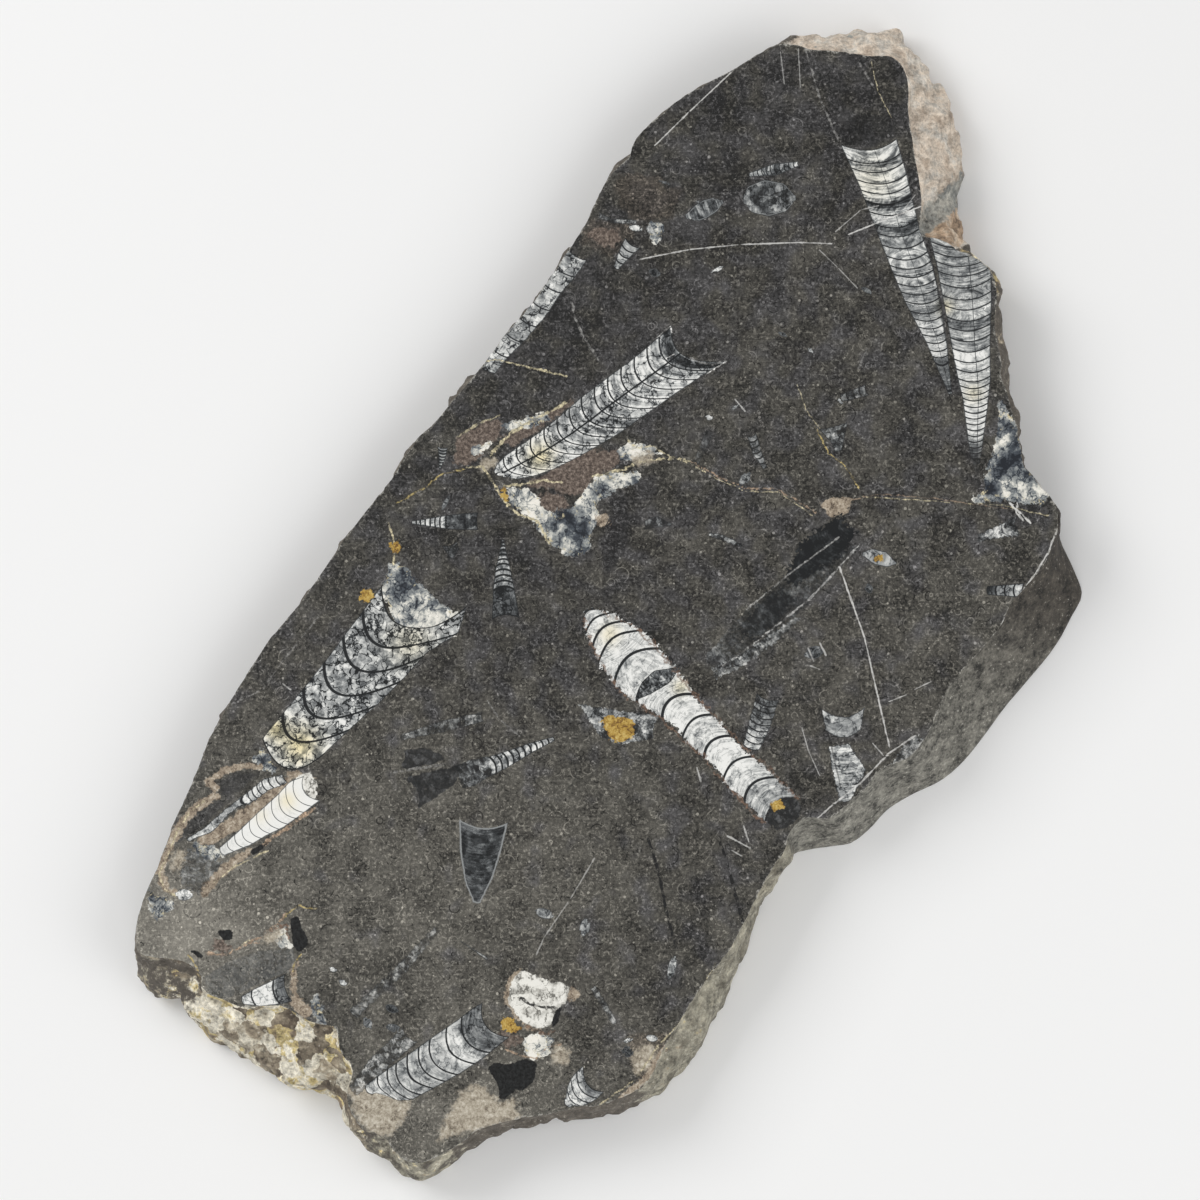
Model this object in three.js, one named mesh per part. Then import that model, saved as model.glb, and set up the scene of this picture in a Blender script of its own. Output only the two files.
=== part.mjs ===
// A natural-edged slab of orthoceras limestone, in millimetres, +Z up.
// The slab is one stone: the straight-shelled fossils were cut flush when its upper face was
// ground and polished, so they are part of the face and stand nowhere proud of it.
// It lies on its sawn base, with the origin at the middle of the base.
import * as THREE from "three";

// Driving dimensions.
const THICKNESS = 24; // sawn base to polished face
const FACETS_AROUND = 340; // steps along the edge
const STEPS_PER_POINT = 40; // how finely the outline is measured between its points
const LUMP_DEPTH = 2; // coarse relief of the broken edge
const CHIP_DEPTH = 1; // fine relief of the broken edge
const SAWN_RELIEF = 0.1; // share of that relief left on the sawn stretch
const LUMP_LENGTH = 13; // along the edge, for one coarse lump
const CHIP_LENGTH = 5; // along the edge, for one chip
const LUMP_RINGS = 2; // rings of the edge that one coarse lump takes up
const CHIP_ROW = 50; // first lattice row of the chips, clear of the lumps' rows
const BROKEN_BACK = 1.6; // how far a broken foot draws in where it meets the base

// The lower right edge was sawn at a slant: it is smooth between these bearings from the middle.
const SAWN_FROM = -53;
const SAWN_TO = 9;
const SAWN_FADE = 4;

// Outline of the polished face, counterclockwise from the upper end.
// Columns: x, y, and how far the edge spreads outwards below that point.
const OUTLINE = [
  // dark upper end and the long left edge, which leans in a little
  [65, 184, 5],
  [59.5, 184, 3],
  [54.5, 181.5, 1],
  [46, 176, -1],
  [32.5, 169, -1],
  [22.5, 162.5, -1],
  [14.5, 155.5, -1],
  [10.5, 150.5, -1],
  [9.5, 146.5, 0],
  [2, 139, -1],
  [-5.5, 123.5, -1],
  [-12.5, 113, -1],
  [-20.5, 101.5, -1],
  [-37.5, 79.5, -1],
  [-49, 65.5, -1],
  [-54, 58.5, 0],
  [-60.5, 52.5, -1],
  [-71.5, 36.5, -1],
  [-82.5, 23, -1],
  [-90, 12, -1],
  [-101.5, -4.5, -1],
  [-110.5, -14.5, -1],
  [-115.5, -22, -1],
  [-124.5, -36, -1],
  [-130.5, -48.5, -1],
  [-139.5, -69.5, -1],
  [-144, -79.5, -1],
  [-148, -90.5, -1],
  [-154.5, -108.5, 1],
  [-154.5, -118.5, 3],
  // broken lower left corner, where ledges run far out below the face
  [-150.5, -120.5, 8],
  [-139, -122.5, 13],
  [-133.5, -126.5, 11],
  [-132.5, -132.5, 10],
  [-124.5, -135, 13],
  [-119, -137.5, 14],
  [-105.5, -137.5, 21],
  [-96.5, -143, 23],
  [-88.5, -145, 23],
  [-86.5, -153, 15],
  [-82.5, -158.5, 12],
  [-84, -167.5, 6],
  [-80, -176.5, 4],
  [-72.5, -181, 6],
  [-66.5, -187, 5],
  [-59, -188.5, 5],
  [-50.5, -184.5, 4],
  // lower end
  [-40.5, -178.5, 2],
  [-30.5, -175, 1],
  [-19, -173, 0],
  [-7.5, -171, 1],
  [1, -169.5, 1],
  [11, -165, 3],
  [15.5, -161.5, 5],
  [20, -152, 10],
  [27.5, -139.5, 12],
  [34.5, -129.5, 8],
  [42, -119.5, 4],
  [51.5, -101.5, 0],
  [56, -93.5, 0],
  [60.5, -87, 1],
  // notch and sawn lower right edge
  [61.5, -81.5, 5],
  [67, -76.5, 10],
  [75.5, -77, 8],
  [81, -71.5, 9],
  [86.5, -67, 8],
  [92.5, -60.5, 11],
  [101, -57, 11],
  [106.5, -50.5, 13],
  [111, -41, 16],
  [114.5, -33.5, 18],
  [126, -20.5, 19],
  [132, -13, 19],
  [134.5, -7, 20],
  [140, -1, 18],
  [146, 6.5, 10],
  [149, 13.5, 4],
  [151, 19.5, 0],
  // chipped right edge beside the long fossils
  [150, 25.5, 0],
  [142, 36.5, 0],
  [139.5, 39.5, 0],
  [139, 48, 0],
  [134, 65.5, 1],
  [132.5, 74.5, 1],
  [131, 84.5, 1],
  [131.5, 96.5, 1],
  [129.5, 104.5, 1],
  [124.5, 109, 1],
  [117.5, 113.5, 4],
  // pale weathered rind at the upper right
  [111, 116, 12],
  [106.5, 117.5, 18],
  [106.5, 128, 21],
  [105.5, 138, 20],
  [104, 148, 20],
  [102.5, 159.5, 15],
  [102.5, 168, 11],
  [100.5, 175.5, 8],
  [97, 178.5, 8],
  [92, 179, 15],
  [86.5, 179.5, 14],
  [77.5, 181, 11],
  [70, 181.5, 9],
];

// Rings of the edge from the polished face down to the base. height is a share of the thickness,
// broken and sawn are the share of the spread reached there, and relief is how rough the ring is.
const RINGS = [
  { height: 1, broken: 0, sawn: 0, relief: 0.25 },
  { height: 0.95, broken: 0.04, sawn: 0.04, relief: 0.5 },
  { height: 0.86, broken: 0.13, sawn: 0.14, relief: 0.9 },
  { height: 0.76, broken: 0.42, sawn: 0.25, relief: 1 },
  { height: 0.64, broken: 0.78, sawn: 0.37, relief: 1 },
  { height: 0.48, broken: 0.93, sawn: 0.54, relief: 1 },
  { height: 0.32, broken: 1, sawn: 0.71, relief: 1 },
  { height: 0.16, broken: 0.99, sawn: 0.88, relief: 1 },
  { height: 0.06, broken: 0.97, sawn: 0.98, relief: 0.7 },
  { height: 0, broken: 0.93, sawn: 1, relief: 0.5 },
];

const degrees = (radians) => (radians * 180) / Math.PI;

// Repeatable number from -1 to 1 for each cell of a lattice.
function cellValue(column, row) {
  const wave = Math.sin(column * 127.1 + row * 311.7) * 43758.5453;
  return 2 * (wave - Math.floor(wave)) - 1;
}

// Relief that runs smoothly from cell to cell along the edge and closes on itself after one turn.
function edgeRelief(share, row, cells) {
  const place = share * cells;
  const cell = Math.floor(place);
  const part = place - cell;
  const ease = part * part * (3 - 2 * part);
  const here = cellValue(cell % cells, row);
  const next = cellValue((cell + 1) % cells, row);
  return here + (next - here) * ease;
}

// 1 on the sawn stretch and 0 on the broken edge, fading over a few degrees.
function sawnShare(bearing) {
  const inside = Math.min(bearing - SAWN_FROM, SAWN_TO - bearing);
  return THREE.MathUtils.smoothstep(inside, -SAWN_FADE, SAWN_FADE);
}

// The outline as a smooth closed curve, whose third coordinate carries the spread.
function outlineCurve() {
  const points = OUTLINE.map(([x, y, spread]) => new THREE.Vector3(x, y, spread));
  const curve = new THREE.CatmullRomCurve3(points, true, "centripetal");
  curve.arcLengthDivisions = OUTLINE.length * STEPS_PER_POINT;
  return curve;
}

// One ring of the edge: each outline point moved straight out from the middle.
function ringPoints(outline, edgeLength, ring, row) {
  const lumps = Math.round(edgeLength / LUMP_LENGTH);
  const chips = Math.round(edgeLength / CHIP_LENGTH);
  return outline.map((point, index) => {
    const share = index / outline.length;
    const sawn = sawnShare(degrees(Math.atan2(point.y, point.x)));
    const slope = THREE.MathUtils.lerp(ring.broken, ring.sawn, sawn);
    const lump = LUMP_DEPTH * edgeRelief(share, Math.floor(row / LUMP_RINGS), lumps);
    const chip = CHIP_DEPTH * edgeRelief(share, row + CHIP_ROW, chips);
    const roughness = ring.relief * THREE.MathUtils.lerp(1, SAWN_RELIEF, sawn);
    const back = ring.height === 0 ? BROKEN_BACK * (1 - sawn) : 0;
    const out = point.z * slope + (lump + chip) * roughness - back;
    const radius = Math.hypot(point.x, point.y);
    const scale = (radius + out) / radius;
    return new THREE.Vector3(point.x * scale, point.y * scale, ring.height * THICKNESS);
  });
}

// Closed solid from the rings: flat polished face, rings of edge, flat base.
function slabGeometry() {
  const curve = outlineCurve();
  const outline = curve.getSpacedPoints(FACETS_AROUND).slice(0, FACETS_AROUND);
  const rings = RINGS.map((ring, row) => ringPoints(outline, curve.getLength(), ring, row));
  const vertices = rings.flat();
  const faces = [];
  for (let row = 0; row < rings.length - 1; row++) {
    for (let i = 0; i < FACETS_AROUND; i++) {
      const next = (i + 1) % FACETS_AROUND;
      const upper = row * FACETS_AROUND;
      const lower = upper + FACETS_AROUND;
      faces.push(upper + i, lower + i, lower + next);
      faces.push(upper + i, lower + next, upper + next);
    }
  }
  const base = (rings.length - 1) * FACETS_AROUND;
  for (const [a, b, c] of THREE.ShapeUtils.triangulateShape(rings[0], [])) {
    faces.push(a, b, c);
  }
  for (const [a, b, c] of THREE.ShapeUtils.triangulateShape(rings.at(-1), [])) {
    faces.push(base + c, base + b, base + a);
  }
  const geometry = new THREE.BufferGeometry().setFromPoints(vertices);
  geometry.setIndex(faces);
  geometry.computeVertexNormals();
  return geometry;
}

const limestone = new THREE.MeshStandardMaterial({ color: 0x4b4843, roughness: 0.4, metalness: 0 });

const slab = new THREE.Mesh(slabGeometry(), limestone);
slab.name = "fossil_slab";

const orthocerasSlab = new THREE.Group();
orthocerasSlab.add(slab);

export default orthocerasSlab;
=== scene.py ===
# %% [markdown]
# # A polished slab of orthoceras limestone
# The object is one natural stone: a flat slab of dark limestone full of straight chambered shells.
# The upper face was ground and polished, so every fossil is cut flush and shows only as colour.
# The edge was left as it broke, apart from one stretch that a saw cut at a slant.
# This lesson keeps the packed solid as the measure of everything and dresses it with one fine mesh.

# %% Load the frame
import functools
import itertools
from dataclasses import dataclass
from types import SimpleNamespace

import bpy
import numpy as np
from mathutils import Matrix, Vector


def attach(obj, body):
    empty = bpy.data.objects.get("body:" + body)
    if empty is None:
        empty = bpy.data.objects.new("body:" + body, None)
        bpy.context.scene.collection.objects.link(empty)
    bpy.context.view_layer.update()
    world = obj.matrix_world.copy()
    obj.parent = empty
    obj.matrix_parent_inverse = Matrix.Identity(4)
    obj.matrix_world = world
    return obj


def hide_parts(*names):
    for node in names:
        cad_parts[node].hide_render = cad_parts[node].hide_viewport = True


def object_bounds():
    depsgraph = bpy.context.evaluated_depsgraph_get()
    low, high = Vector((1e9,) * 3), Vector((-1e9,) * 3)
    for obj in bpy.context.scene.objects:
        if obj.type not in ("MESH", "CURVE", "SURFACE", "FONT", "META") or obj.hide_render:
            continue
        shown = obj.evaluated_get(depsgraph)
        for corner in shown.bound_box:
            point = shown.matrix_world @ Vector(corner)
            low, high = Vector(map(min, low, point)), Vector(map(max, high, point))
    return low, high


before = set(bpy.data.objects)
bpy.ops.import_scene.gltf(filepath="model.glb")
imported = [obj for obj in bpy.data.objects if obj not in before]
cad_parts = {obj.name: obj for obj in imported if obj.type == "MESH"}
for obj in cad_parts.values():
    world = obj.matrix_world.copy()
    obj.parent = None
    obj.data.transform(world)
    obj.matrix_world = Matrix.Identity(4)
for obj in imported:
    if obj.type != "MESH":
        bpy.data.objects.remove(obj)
cad_box = [list(corner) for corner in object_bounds()]
MM = 0.001  # metres in a millimetre
print("CAD box in mm:", np.round(np.array(cad_box) / MM, 1).tolist())

# %% [markdown]
# ## The camera
# The photograph looks almost straight down, leaning a little towards the lower right, so that the
# slanted edge there shows. A long lens keeps the perspective small.
# One scale ties the picture to the stone: three pixels of the photograph are one millimetre, and one
# pixel marks the middle of the polished face. All markings below are placed through `on_face`.

# %% Camera and the scale of the photograph
IMAGE_PIXELS = 1200
PIXELS_PER_MM = 3.0
FACE_MIDDLE_PX = np.array((602.0, 589.0))
CAMERA_DISTANCE = 1600.0  # mm
CAMERA_TILT = np.radians(9.5)  # away from straight down
CAMERA_LEAN = np.array((0.57, -0.82, 0.0))  # the side it leans to
TILT_SCALE = 0.993  # evens out the foreshortening of the tilt
SENSOR = 36.0  # mm

face_height = cad_box[1][2] / MM


def on_face(pixels):
    """Photograph pixels to mm on the face: less the middle, divided by the scale, with y turned up."""
    return (np.asarray(pixels, float) - FACE_MIDDLE_PX) / PIXELS_PER_MM * (1, -1)


def aim_camera():
    """Puts the camera on a line leaning from the frame's middle, with +Y up in the picture."""
    middle = np.append(on_face((IMAGE_PIXELS / 2, IMAGE_PIXELS / 2)), face_height)
    lean = CAMERA_LEAN / np.linalg.norm(CAMERA_LEAN)
    back = np.sin(CAMERA_TILT) * lean + np.cos(CAMERA_TILT) * np.array((0, 0, 1.0))
    up = np.array((0, 1.0, 0)) - back[1] * back
    up /= np.linalg.norm(up)
    right = np.cross(up, back)
    camera = bpy.data.objects.new("camera", bpy.data.cameras.new("camera"))
    frame_width = IMAGE_PIXELS / PIXELS_PER_MM * TILT_SCALE
    camera.data.sensor_width = SENSOR
    camera.data.lens = SENSOR * CAMERA_DISTANCE / frame_width
    place = Matrix(np.column_stack((right, up, back)).tolist()).to_4x4()
    place.translation = Vector((middle + CAMERA_DISTANCE * back) * MM)
    camera.matrix_world = place
    bpy.context.scene.collection.objects.link(camera)
    bpy.context.scene.camera = camera
    return camera


camera = aim_camera()
print(f"camera lens {camera.data.lens:.0f} mm at {np.round(np.array(camera.location), 3).tolist()}")

# %% [markdown]
# ## Floor and light
# A plain pale floor and three large soft lamps stand in for a studio. The lamps stand well to the
# sides, so the polished face doesn't mirror them straight into the camera and its dark stays dark.

# %% Floor, lamps and sky
FLOOR_HALF = 6.0  # m
FLOOR_PALE = (0.93, 0.93, 0.925, 1.0)
FLOOR_ROUGHNESS = 0.9
SKY_STRENGTH = 0.42
LAMPS = [  # name, place in m, power in W, width in m
    ("window_lamp", (-1.15, 0.75, 1.25), 15.0, 1.1),
    ("fill_lamp", (1.25, -0.35, 1.15), 8.5, 1.2),
    ("front_lamp", (-0.1, -1.5, 1.1), 7.0, 1.2),
]


def add_floor():
    """A flat square below the slab."""
    mesh = bpy.data.meshes.new("floor")
    side = FLOOR_HALF
    corners = [(-side, -side, 0), (side, -side, 0), (side, side, 0), (-side, side, 0)]
    mesh.from_pydata(corners, [], [(0, 1, 2, 3)])
    floor = bpy.data.objects.new("floor", mesh)
    bpy.context.scene.collection.objects.link(floor)
    paint = bpy.data.materials.new("floor_paint")
    paint.use_nodes = True
    shader = paint.node_tree.nodes["Principled BSDF"]
    shader.inputs["Base Color"].default_value = FLOOR_PALE
    shader.inputs["Roughness"].default_value = FLOOR_ROUGHNESS
    mesh.materials.append(paint)


def add_lamp(name, place, power, width):
    """A square lamp that faces the middle of the slab."""
    lamp = bpy.data.objects.new(name, bpy.data.lights.new(name, "AREA"))
    lamp.data.energy = power
    lamp.data.size = width
    lamp.location = place
    lamp.rotation_euler = Vector(place).to_track_quat("Z", "Y").to_euler()
    bpy.context.scene.collection.objects.link(lamp)


add_floor()
for lamp in LAMPS:
    add_lamp(*lamp)
sky = bpy.data.worlds.new("studio_sky")
sky.use_nodes = True
sky.node_tree.nodes["Background"].inputs["Strength"].default_value = SKY_STRENGTH
sky.node_tree.nodes["Background"].inputs["Color"].default_value = (1, 1, 1, 1)
bpy.context.scene.world = sky
bpy.context.scene.view_settings.view_transform = "Standard"
print("lamps:", [row[0] for row in LAMPS])

# %% [markdown]
# ## The edge of the stone, read from the solid
# The packed solid is a stack of rings, one for each height. Every ring is a radius for each bearing
# from the middle, so the fine mesh can read the rings back and follow the solid exactly.
# The alternative, tracing the outline again, would let the two shapes drift apart.

# %% Rings of the solid
RING_TOLERANCE = 0.05  # mm

slab_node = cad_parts["fossil_slab"]
solid = np.empty(len(slab_node.data.vertices) * 3, np.float32)
slab_node.data.vertices.foreach_get("co", solid)
solid = solid.reshape(-1, 3).astype(float) / MM
ring_heights = np.unique(np.round(solid[:, 2], 2))[::-1]


def ring_of(height):
    """Bearings in rising order and the radius at each, for the solid's vertices at one height."""
    ring = solid[np.abs(solid[:, 2] - height) < RING_TOLERANCE]
    bearings = np.arctan2(ring[:, 1], ring[:, 0])
    bearings, first = np.unique(np.round(bearings, 5), return_index=True)
    return bearings, np.hypot(ring[first, 0], ring[first, 1])


rings = [ring_of(height) for height in ring_heights]


def radius_at(ring, bearings):
    """Radius of one ring at any bearing, straight between its points."""
    return np.interp(bearings, *rings[ring], period=2 * np.pi)


print(f"{len(rings)} rings at heights {ring_heights.tolist()} mm, {len(rings[0][0])} points each")

# %% [markdown]
# ## Noise for broken stone
# Broken limestone is lumpy at several sizes. A lattice of repeatable random numbers, eased between its
# corners, gives a smooth bumpy field. It needs no random seed and gives the same stone every run.

# %% Lattice noise
HASH_STEPS = np.array((127.1, 311.7, 74.7))
HASH_SPREAD = 43758.5453
SEED_STEP = 53.3


def lattice_noise(places, size, seed):
    """Noise from -1 to 1: a hashed number at each corner of a lattice, eased between eight corners."""
    cell = np.asarray(places, float) / size
    corner = np.floor(cell)
    part = cell - corner
    ease = part * part * (3 - 2 * part)
    total = np.zeros(cell.shape[:-1])
    for offset in itertools.product((0, 1), repeat=3):
        wave = np.sin((corner + offset) @ HASH_STEPS + seed * SEED_STEP) * HASH_SPREAD
        weight = np.prod(np.where(offset, ease, 1 - ease), axis=-1)
        total += (2 * (wave - np.floor(wave)) - 1) * weight
    return total


trial = lattice_noise(np.mgrid[0:9, 0:9, 0:9].reshape(3, -1).T, 2.3, 1)
print(f"noise from {trial.min():.2f} to {trial.max():.2f}")

# %% [markdown]
# ## The face as a square pressed into the outline
# A fan of triangles would be too coarse at the rim and too fine in the middle. Here a square grid is
# pressed into a disc: each square ring becomes a round one, which keeps the cells nearly even.
# Each ray of the disc is then stretched to the slab's radius at its bearing, with the bearings spaced so
# that the rim has even steps. Small bites along the rim are the chips of the sharp polished edge.

# %% Face grid
GRID = 240  # cells along each side of the square
CHIP_SIZES = [(7.0, 0.3, 1.5), (2.6, 0.35, 0.8)]  # length, threshold and depth in mm
SAWN_BEARINGS = np.radians((-53.0, 9.0))  # between these the edge is sawn smooth
SAWN_FADE = np.radians(4.0)
SAWN_SPARED = 0.6  # share of the chips that is missing on the sawn stretch


def wrapped(bearings):
    """Bearings brought between -pi and pi."""
    return np.mod(bearings + np.pi, 2 * np.pi) - np.pi


def sawn_share(bearings):
    """1 on the sawn stretch of the edge, 0 on the broken one, with a short fade."""
    inside = np.minimum(bearings - SAWN_BEARINGS[0], SAWN_BEARINGS[1] - bearings)
    share = np.clip(inside / (2 * SAWN_FADE) + 0.5, 0, 1)
    return share * share * (3 - 2 * share)


def bearing_at(turn):
    """Bearing after a share of the way round the rim, measured along the rim."""
    bearings, radii = rings[0]
    bearings = np.append(bearings, bearings[0] + 2 * np.pi)
    radii = np.append(radii, radii[0])
    steps = np.hypot(np.diff(radii * np.cos(bearings)), np.diff(radii * np.sin(bearings)))
    gone = np.concatenate(([0], np.cumsum(steps)))
    return np.interp(turn, gone / gone[-1], bearings)


def ring_places(bearings, radius, height):
    """Points at a bearing, a radius and a height."""
    x, y = radius * np.cos(bearings), radius * np.sin(bearings)
    return np.stack(np.broadcast_arrays(x, y, height), -1)


def rim_radius(bearings):
    """Radius of the polished rim: the solid's top ring less the chips bitten out of it."""
    radius = radius_at(0, bearings)
    places = ring_places(bearings, radius, 0.0)
    bite = np.zeros_like(radius)
    for seed, (length, threshold, depth) in enumerate(CHIP_SIZES):
        bite += depth * np.clip(lattice_noise(places, length, seed) - threshold, 0, 1)
    return radius - bite * (1 - SAWN_SPARED * sawn_share(wrapped(bearings)))


def pressed_square(cells):
    """Square grid to disc: the larger coordinate is the radius, and each square ring an even circle."""
    along = np.linspace(-1, 1, cells + 1)
    a, b = np.meshgrid(along, along, indexing="ij")
    wide = np.abs(a) > np.abs(b)
    reach = np.where(wide, a, b)
    safe = np.where(reach == 0, 1, reach)
    angle = np.where(wide, np.pi / 4 * b / safe, np.pi / 2 - np.pi / 4 * a / safe)
    turn = np.mod(angle + np.where(reach < 0, np.pi, 0), 2 * np.pi) / (2 * np.pi)
    return np.abs(reach), turn


reach, turn = pressed_square(GRID)
grid_bearing = bearing_at(turn)
grid_radius = reach * rim_radius(grid_bearing)
face_places = ring_places(grid_bearing, grid_radius, face_height).reshape(-1, 3)
numbers = np.arange((GRID + 1) ** 2).reshape(GRID + 1, GRID + 1)
cell_corners = (numbers[:-1, :-1], numbers[1:, :-1], numbers[1:, 1:], numbers[:-1, 1:])
face_quads = np.stack(cell_corners, -1).reshape(-1, 4)
on_rim = np.flatnonzero(reach.ravel() == 1)
rim = on_rim[np.argsort(turn.ravel()[on_rim])]
print(f"face: {len(face_places)} points, {len(face_quads)} quads, {len(rim)} points on the rim")

# %% [markdown]
# ## The broken edge
# Below the rim the wall follows the solid's rings, with rows put in between. Lumps and flakes from the
# noise are added along the bearing, full on broken stretches and almost none where the saw passed.
# They vanish at the rim and weaken towards the base, and wide ledges have lumps in height too.

# %% Edge rows and base
EDGE_ROWS = 24
BASE_ROWS = 5
LUMPS = [(7.0, 1.4, 11), (3.4, 1.0, 12), (1.9, 0.6, 13)]  # length and depth in mm, seed
LEDGE_LUMPS = [(6.0, 1.3, 21), (2.6, 0.9, 22)]  # the same for the height of wide ledges
LEDGE_WIDTH = 20.0  # mm a ledge runs out before its lumps are full
SAWN_ROUGHNESS = 0.06
RIM_FADE = 1.6  # mm below the face over which the lumps grow
FOOT_SHARE, FOOT_HEIGHT = 0.25, 4.0  # of the lumps left at the base, and mm in which a whole share is added
LEDGE_CLEAR = (0.3, 0.1)  # mm that ledges stay clear of the base and of the face

rim_bearing = grid_bearing.ravel()[rim]
edge_level = np.linspace(0, len(rings) - 1, EDGE_ROWS + 1)[1:]
ring_table = np.array([radius_at(ring, rim_bearing) for ring in range(len(rings))])


def edge_rows():
    """Rows of the wall: radius and height between the solid's rings, plus lumps along the bearing."""
    below = np.minimum(edge_level.astype(int), len(rings) - 2)
    part = (edge_level - below)[:, None]
    radius = ring_table[below] * (1 - part) + ring_table[below + 1] * part
    height = np.interp(edge_level, np.arange(len(rings)), ring_heights)[:, None] + 0 * radius
    places = ring_places(rim_bearing, radius, height)
    rough = 1 - (1 - SAWN_ROUGHNESS) * sawn_share(wrapped(rim_bearing))
    fade = np.clip((face_height - height) / RIM_FADE, 0, 1)
    fade = fade * np.clip(FOOT_SHARE + height / FOOT_HEIGHT, 0, 1)
    lump = sum(depth * lattice_noise(places, length, seed) for length, depth, seed in LUMPS)
    radius = radius + lump * rough * fade
    ledge = np.clip((ring_table.max(axis=0) - ring_table[0]) / LEDGE_WIDTH, 0, 1)
    rise = sum(depth * lattice_noise(places, length, seed) for length, depth, seed in LEDGE_LUMPS)
    raised = np.clip(height + rise * ledge * rough * fade, LEDGE_CLEAR[0], face_height - LEDGE_CLEAR[1])
    return ring_places(rim_bearing, radius, np.where(height > 0, raised, 0))


edge_places = edge_rows()
shrink = np.linspace(1, 0, BASE_ROWS + 1)[1:-1]
base_places = edge_places[-1] * shrink[:, None, None]
base_middle = np.zeros((1, 3))
slab_places = np.concatenate(
    (face_places, edge_places.reshape(-1, 3), base_places.reshape(-1, 3), base_middle)
)
row_numbers = len(face_places) + np.arange((EDGE_ROWS + BASE_ROWS - 1) * len(rim)).reshape(-1, len(rim))
row_numbers = np.concatenate((rim[None], row_numbers))
after = np.roll(row_numbers, -1, axis=1)
row_quads = np.stack((row_numbers[:-1], row_numbers[1:], after[1:], after[:-1]), -1).reshape(-1, 4)
middle_number = len(slab_places) - 1
base_fan = np.stack((row_numbers[-1], np.full(len(rim), middle_number), after[-1]), -1)
print(f"edge: {EDGE_ROWS} rows, base: {BASE_ROWS} rows, slab: {len(slab_places)} points")

# %% [markdown]
# ## One mesh
# The face, the edge and the base share their points, so the stone is closed. Arrays go into the mesh with
# `foreach_set`, which is far quicker than a list of faces. The face and base are shaded flat, which
# also keeps the line of the rim sharp against the smoothly shaded edge.

# %% Slab mesh
FACE, EDGE, BASE = range(3)  # material slots


def mesh_from_arrays(name, places, quads, triangles):
    """A mesh from whole arrays: points, then four-cornered faces, then three-cornered ones."""
    mesh = bpy.data.meshes.new(name)
    corners = np.concatenate((quads.ravel(), triangles.ravel())).astype(np.int32)
    sizes = np.concatenate((np.full(len(quads), 4), np.full(len(triangles), 3))).astype(np.int32)
    mesh.vertices.add(len(places))
    mesh.vertices.foreach_set("co", (places * MM).astype(np.float32).ravel())
    mesh.loops.add(len(corners))
    mesh.loops.foreach_set("vertex_index", corners)
    mesh.polygons.add(len(sizes))
    mesh.polygons.foreach_set("loop_start", (np.cumsum(sizes) - sizes).astype(np.int32))
    mesh.update(calc_edges=True)
    return mesh, corners


quads = np.concatenate((face_quads, row_quads))
slab_mesh, corner_points = mesh_from_arrays("polished_slab", slab_places, quads, base_fan)
edge_faces = EDGE_ROWS * len(rim)
slot_of_face = np.full(len(slab_mesh.polygons), BASE, np.int32)
slot_of_face[: len(face_quads)] = FACE
slot_of_face[len(face_quads) : len(face_quads) + edge_faces] = EDGE
slab_mesh.polygons.foreach_set("material_index", slot_of_face)
slab_mesh.polygons.foreach_set("use_smooth", slot_of_face == EDGE)
slab = bpy.data.objects.new("polished_slab", slab_mesh)
bpy.context.scene.collection.objects.link(slab)
print(f"slab: {2 * len(quads) + len(base_fan)} triangles, faults mended: {slab_mesh.validate()}")

# %% [markdown]
# ## Numbers that ride on the mesh
# A marking follows the stone best when the mesh carries its coordinates. `store` writes an array as a
# named attribute, one row for each point, corner or face, and the shader reads it by that name.

# %% Attribute helper
face_corners = 4 * len(face_quads)
corner_xy = slab_places[corner_points[:face_corners], :2]
middle_xy = corner_xy.reshape(-1, 4, 2).mean(axis=1)


def store(name, domain, values):
    """Writes values as a float or vector attribute; rows past those given are 0."""
    values = np.asarray(values, np.float32)
    kind, key = ("FLOAT", "value") if values.ndim == 1 else ("FLOAT_VECTOR", "vector")
    attribute = slab_mesh.attributes.new(name, kind, domain)
    whole = np.zeros((len(attribute.data),) + values.shape[1:], np.float32)
    whole[: len(values)] = values
    attribute.data.foreach_set(key, whole.ravel())


print(f"{len(middle_xy)} face cells can carry markings")

# %% [markdown]
# ## Chambered shells
# Each fossil is a straight shell cut lengthwise: two edges that close towards a tip, and curved walls
# between its chambers. A shell is described here by its two edges in photograph pixels, from the
# wide end to the tip, and by its walls. Drawing them as texture images would be the other way, but a
# few numbers per shell keep every wall sharp at any distance.


# %% What a shell is
@dataclass
class Shell:
    """One fossil in the face. Distances along it are photograph pixels from its wide end."""

    near: list  # one edge, from the wide end to the tip
    far: list  # the other edge
    chambers: object = 1  # how many, or the places of their walls
    tone: object = 0.6  # 0 black to 1 white, or (distance, tone) steps along the shell
    bow: float = 0.3  # depth of a wall's curve towards the tip, in half widths
    wall: float = 0.25  # half thickness of a wall line in mm, negative for none
    tube: tuple = (0.0, -0.3)  # the tube through the chambers: its place from -1 to 1, half width in mm
    mottle: float = 0.5  # how cloudy the filling is
    streak: float = 0.2  # how streaky it is along the walls
    crack: float = 0.35  # how dark the hair cracks in it are
    glow: float = 0.0  # how much whiter it is next to the walls
    fray: float = 0.12  # how ragged the edges are, in mm
    rim: float = -0.4  # width of a pale border in mm, negative for none
    outline: float = 0.25  # half width of the dark line around it in mm
    show: float = 1.0  # how clearly it stands out from the stone
    fade: float = 0.0  # length at the tip over which it fades away
    chord: tuple = None  # direction of the walls, where it isn't square to the shell
    layer: int = 0  # shells that touch lie on different layers


NO_WALL = -0.4


def unwalled(near, far, **look):
    """A shell cut so that no walls show."""
    return Shell(near, far, wall=NO_WALL, **look)


print("a shell has", len(Shell.__dataclass_fields__), "properties")

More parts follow.
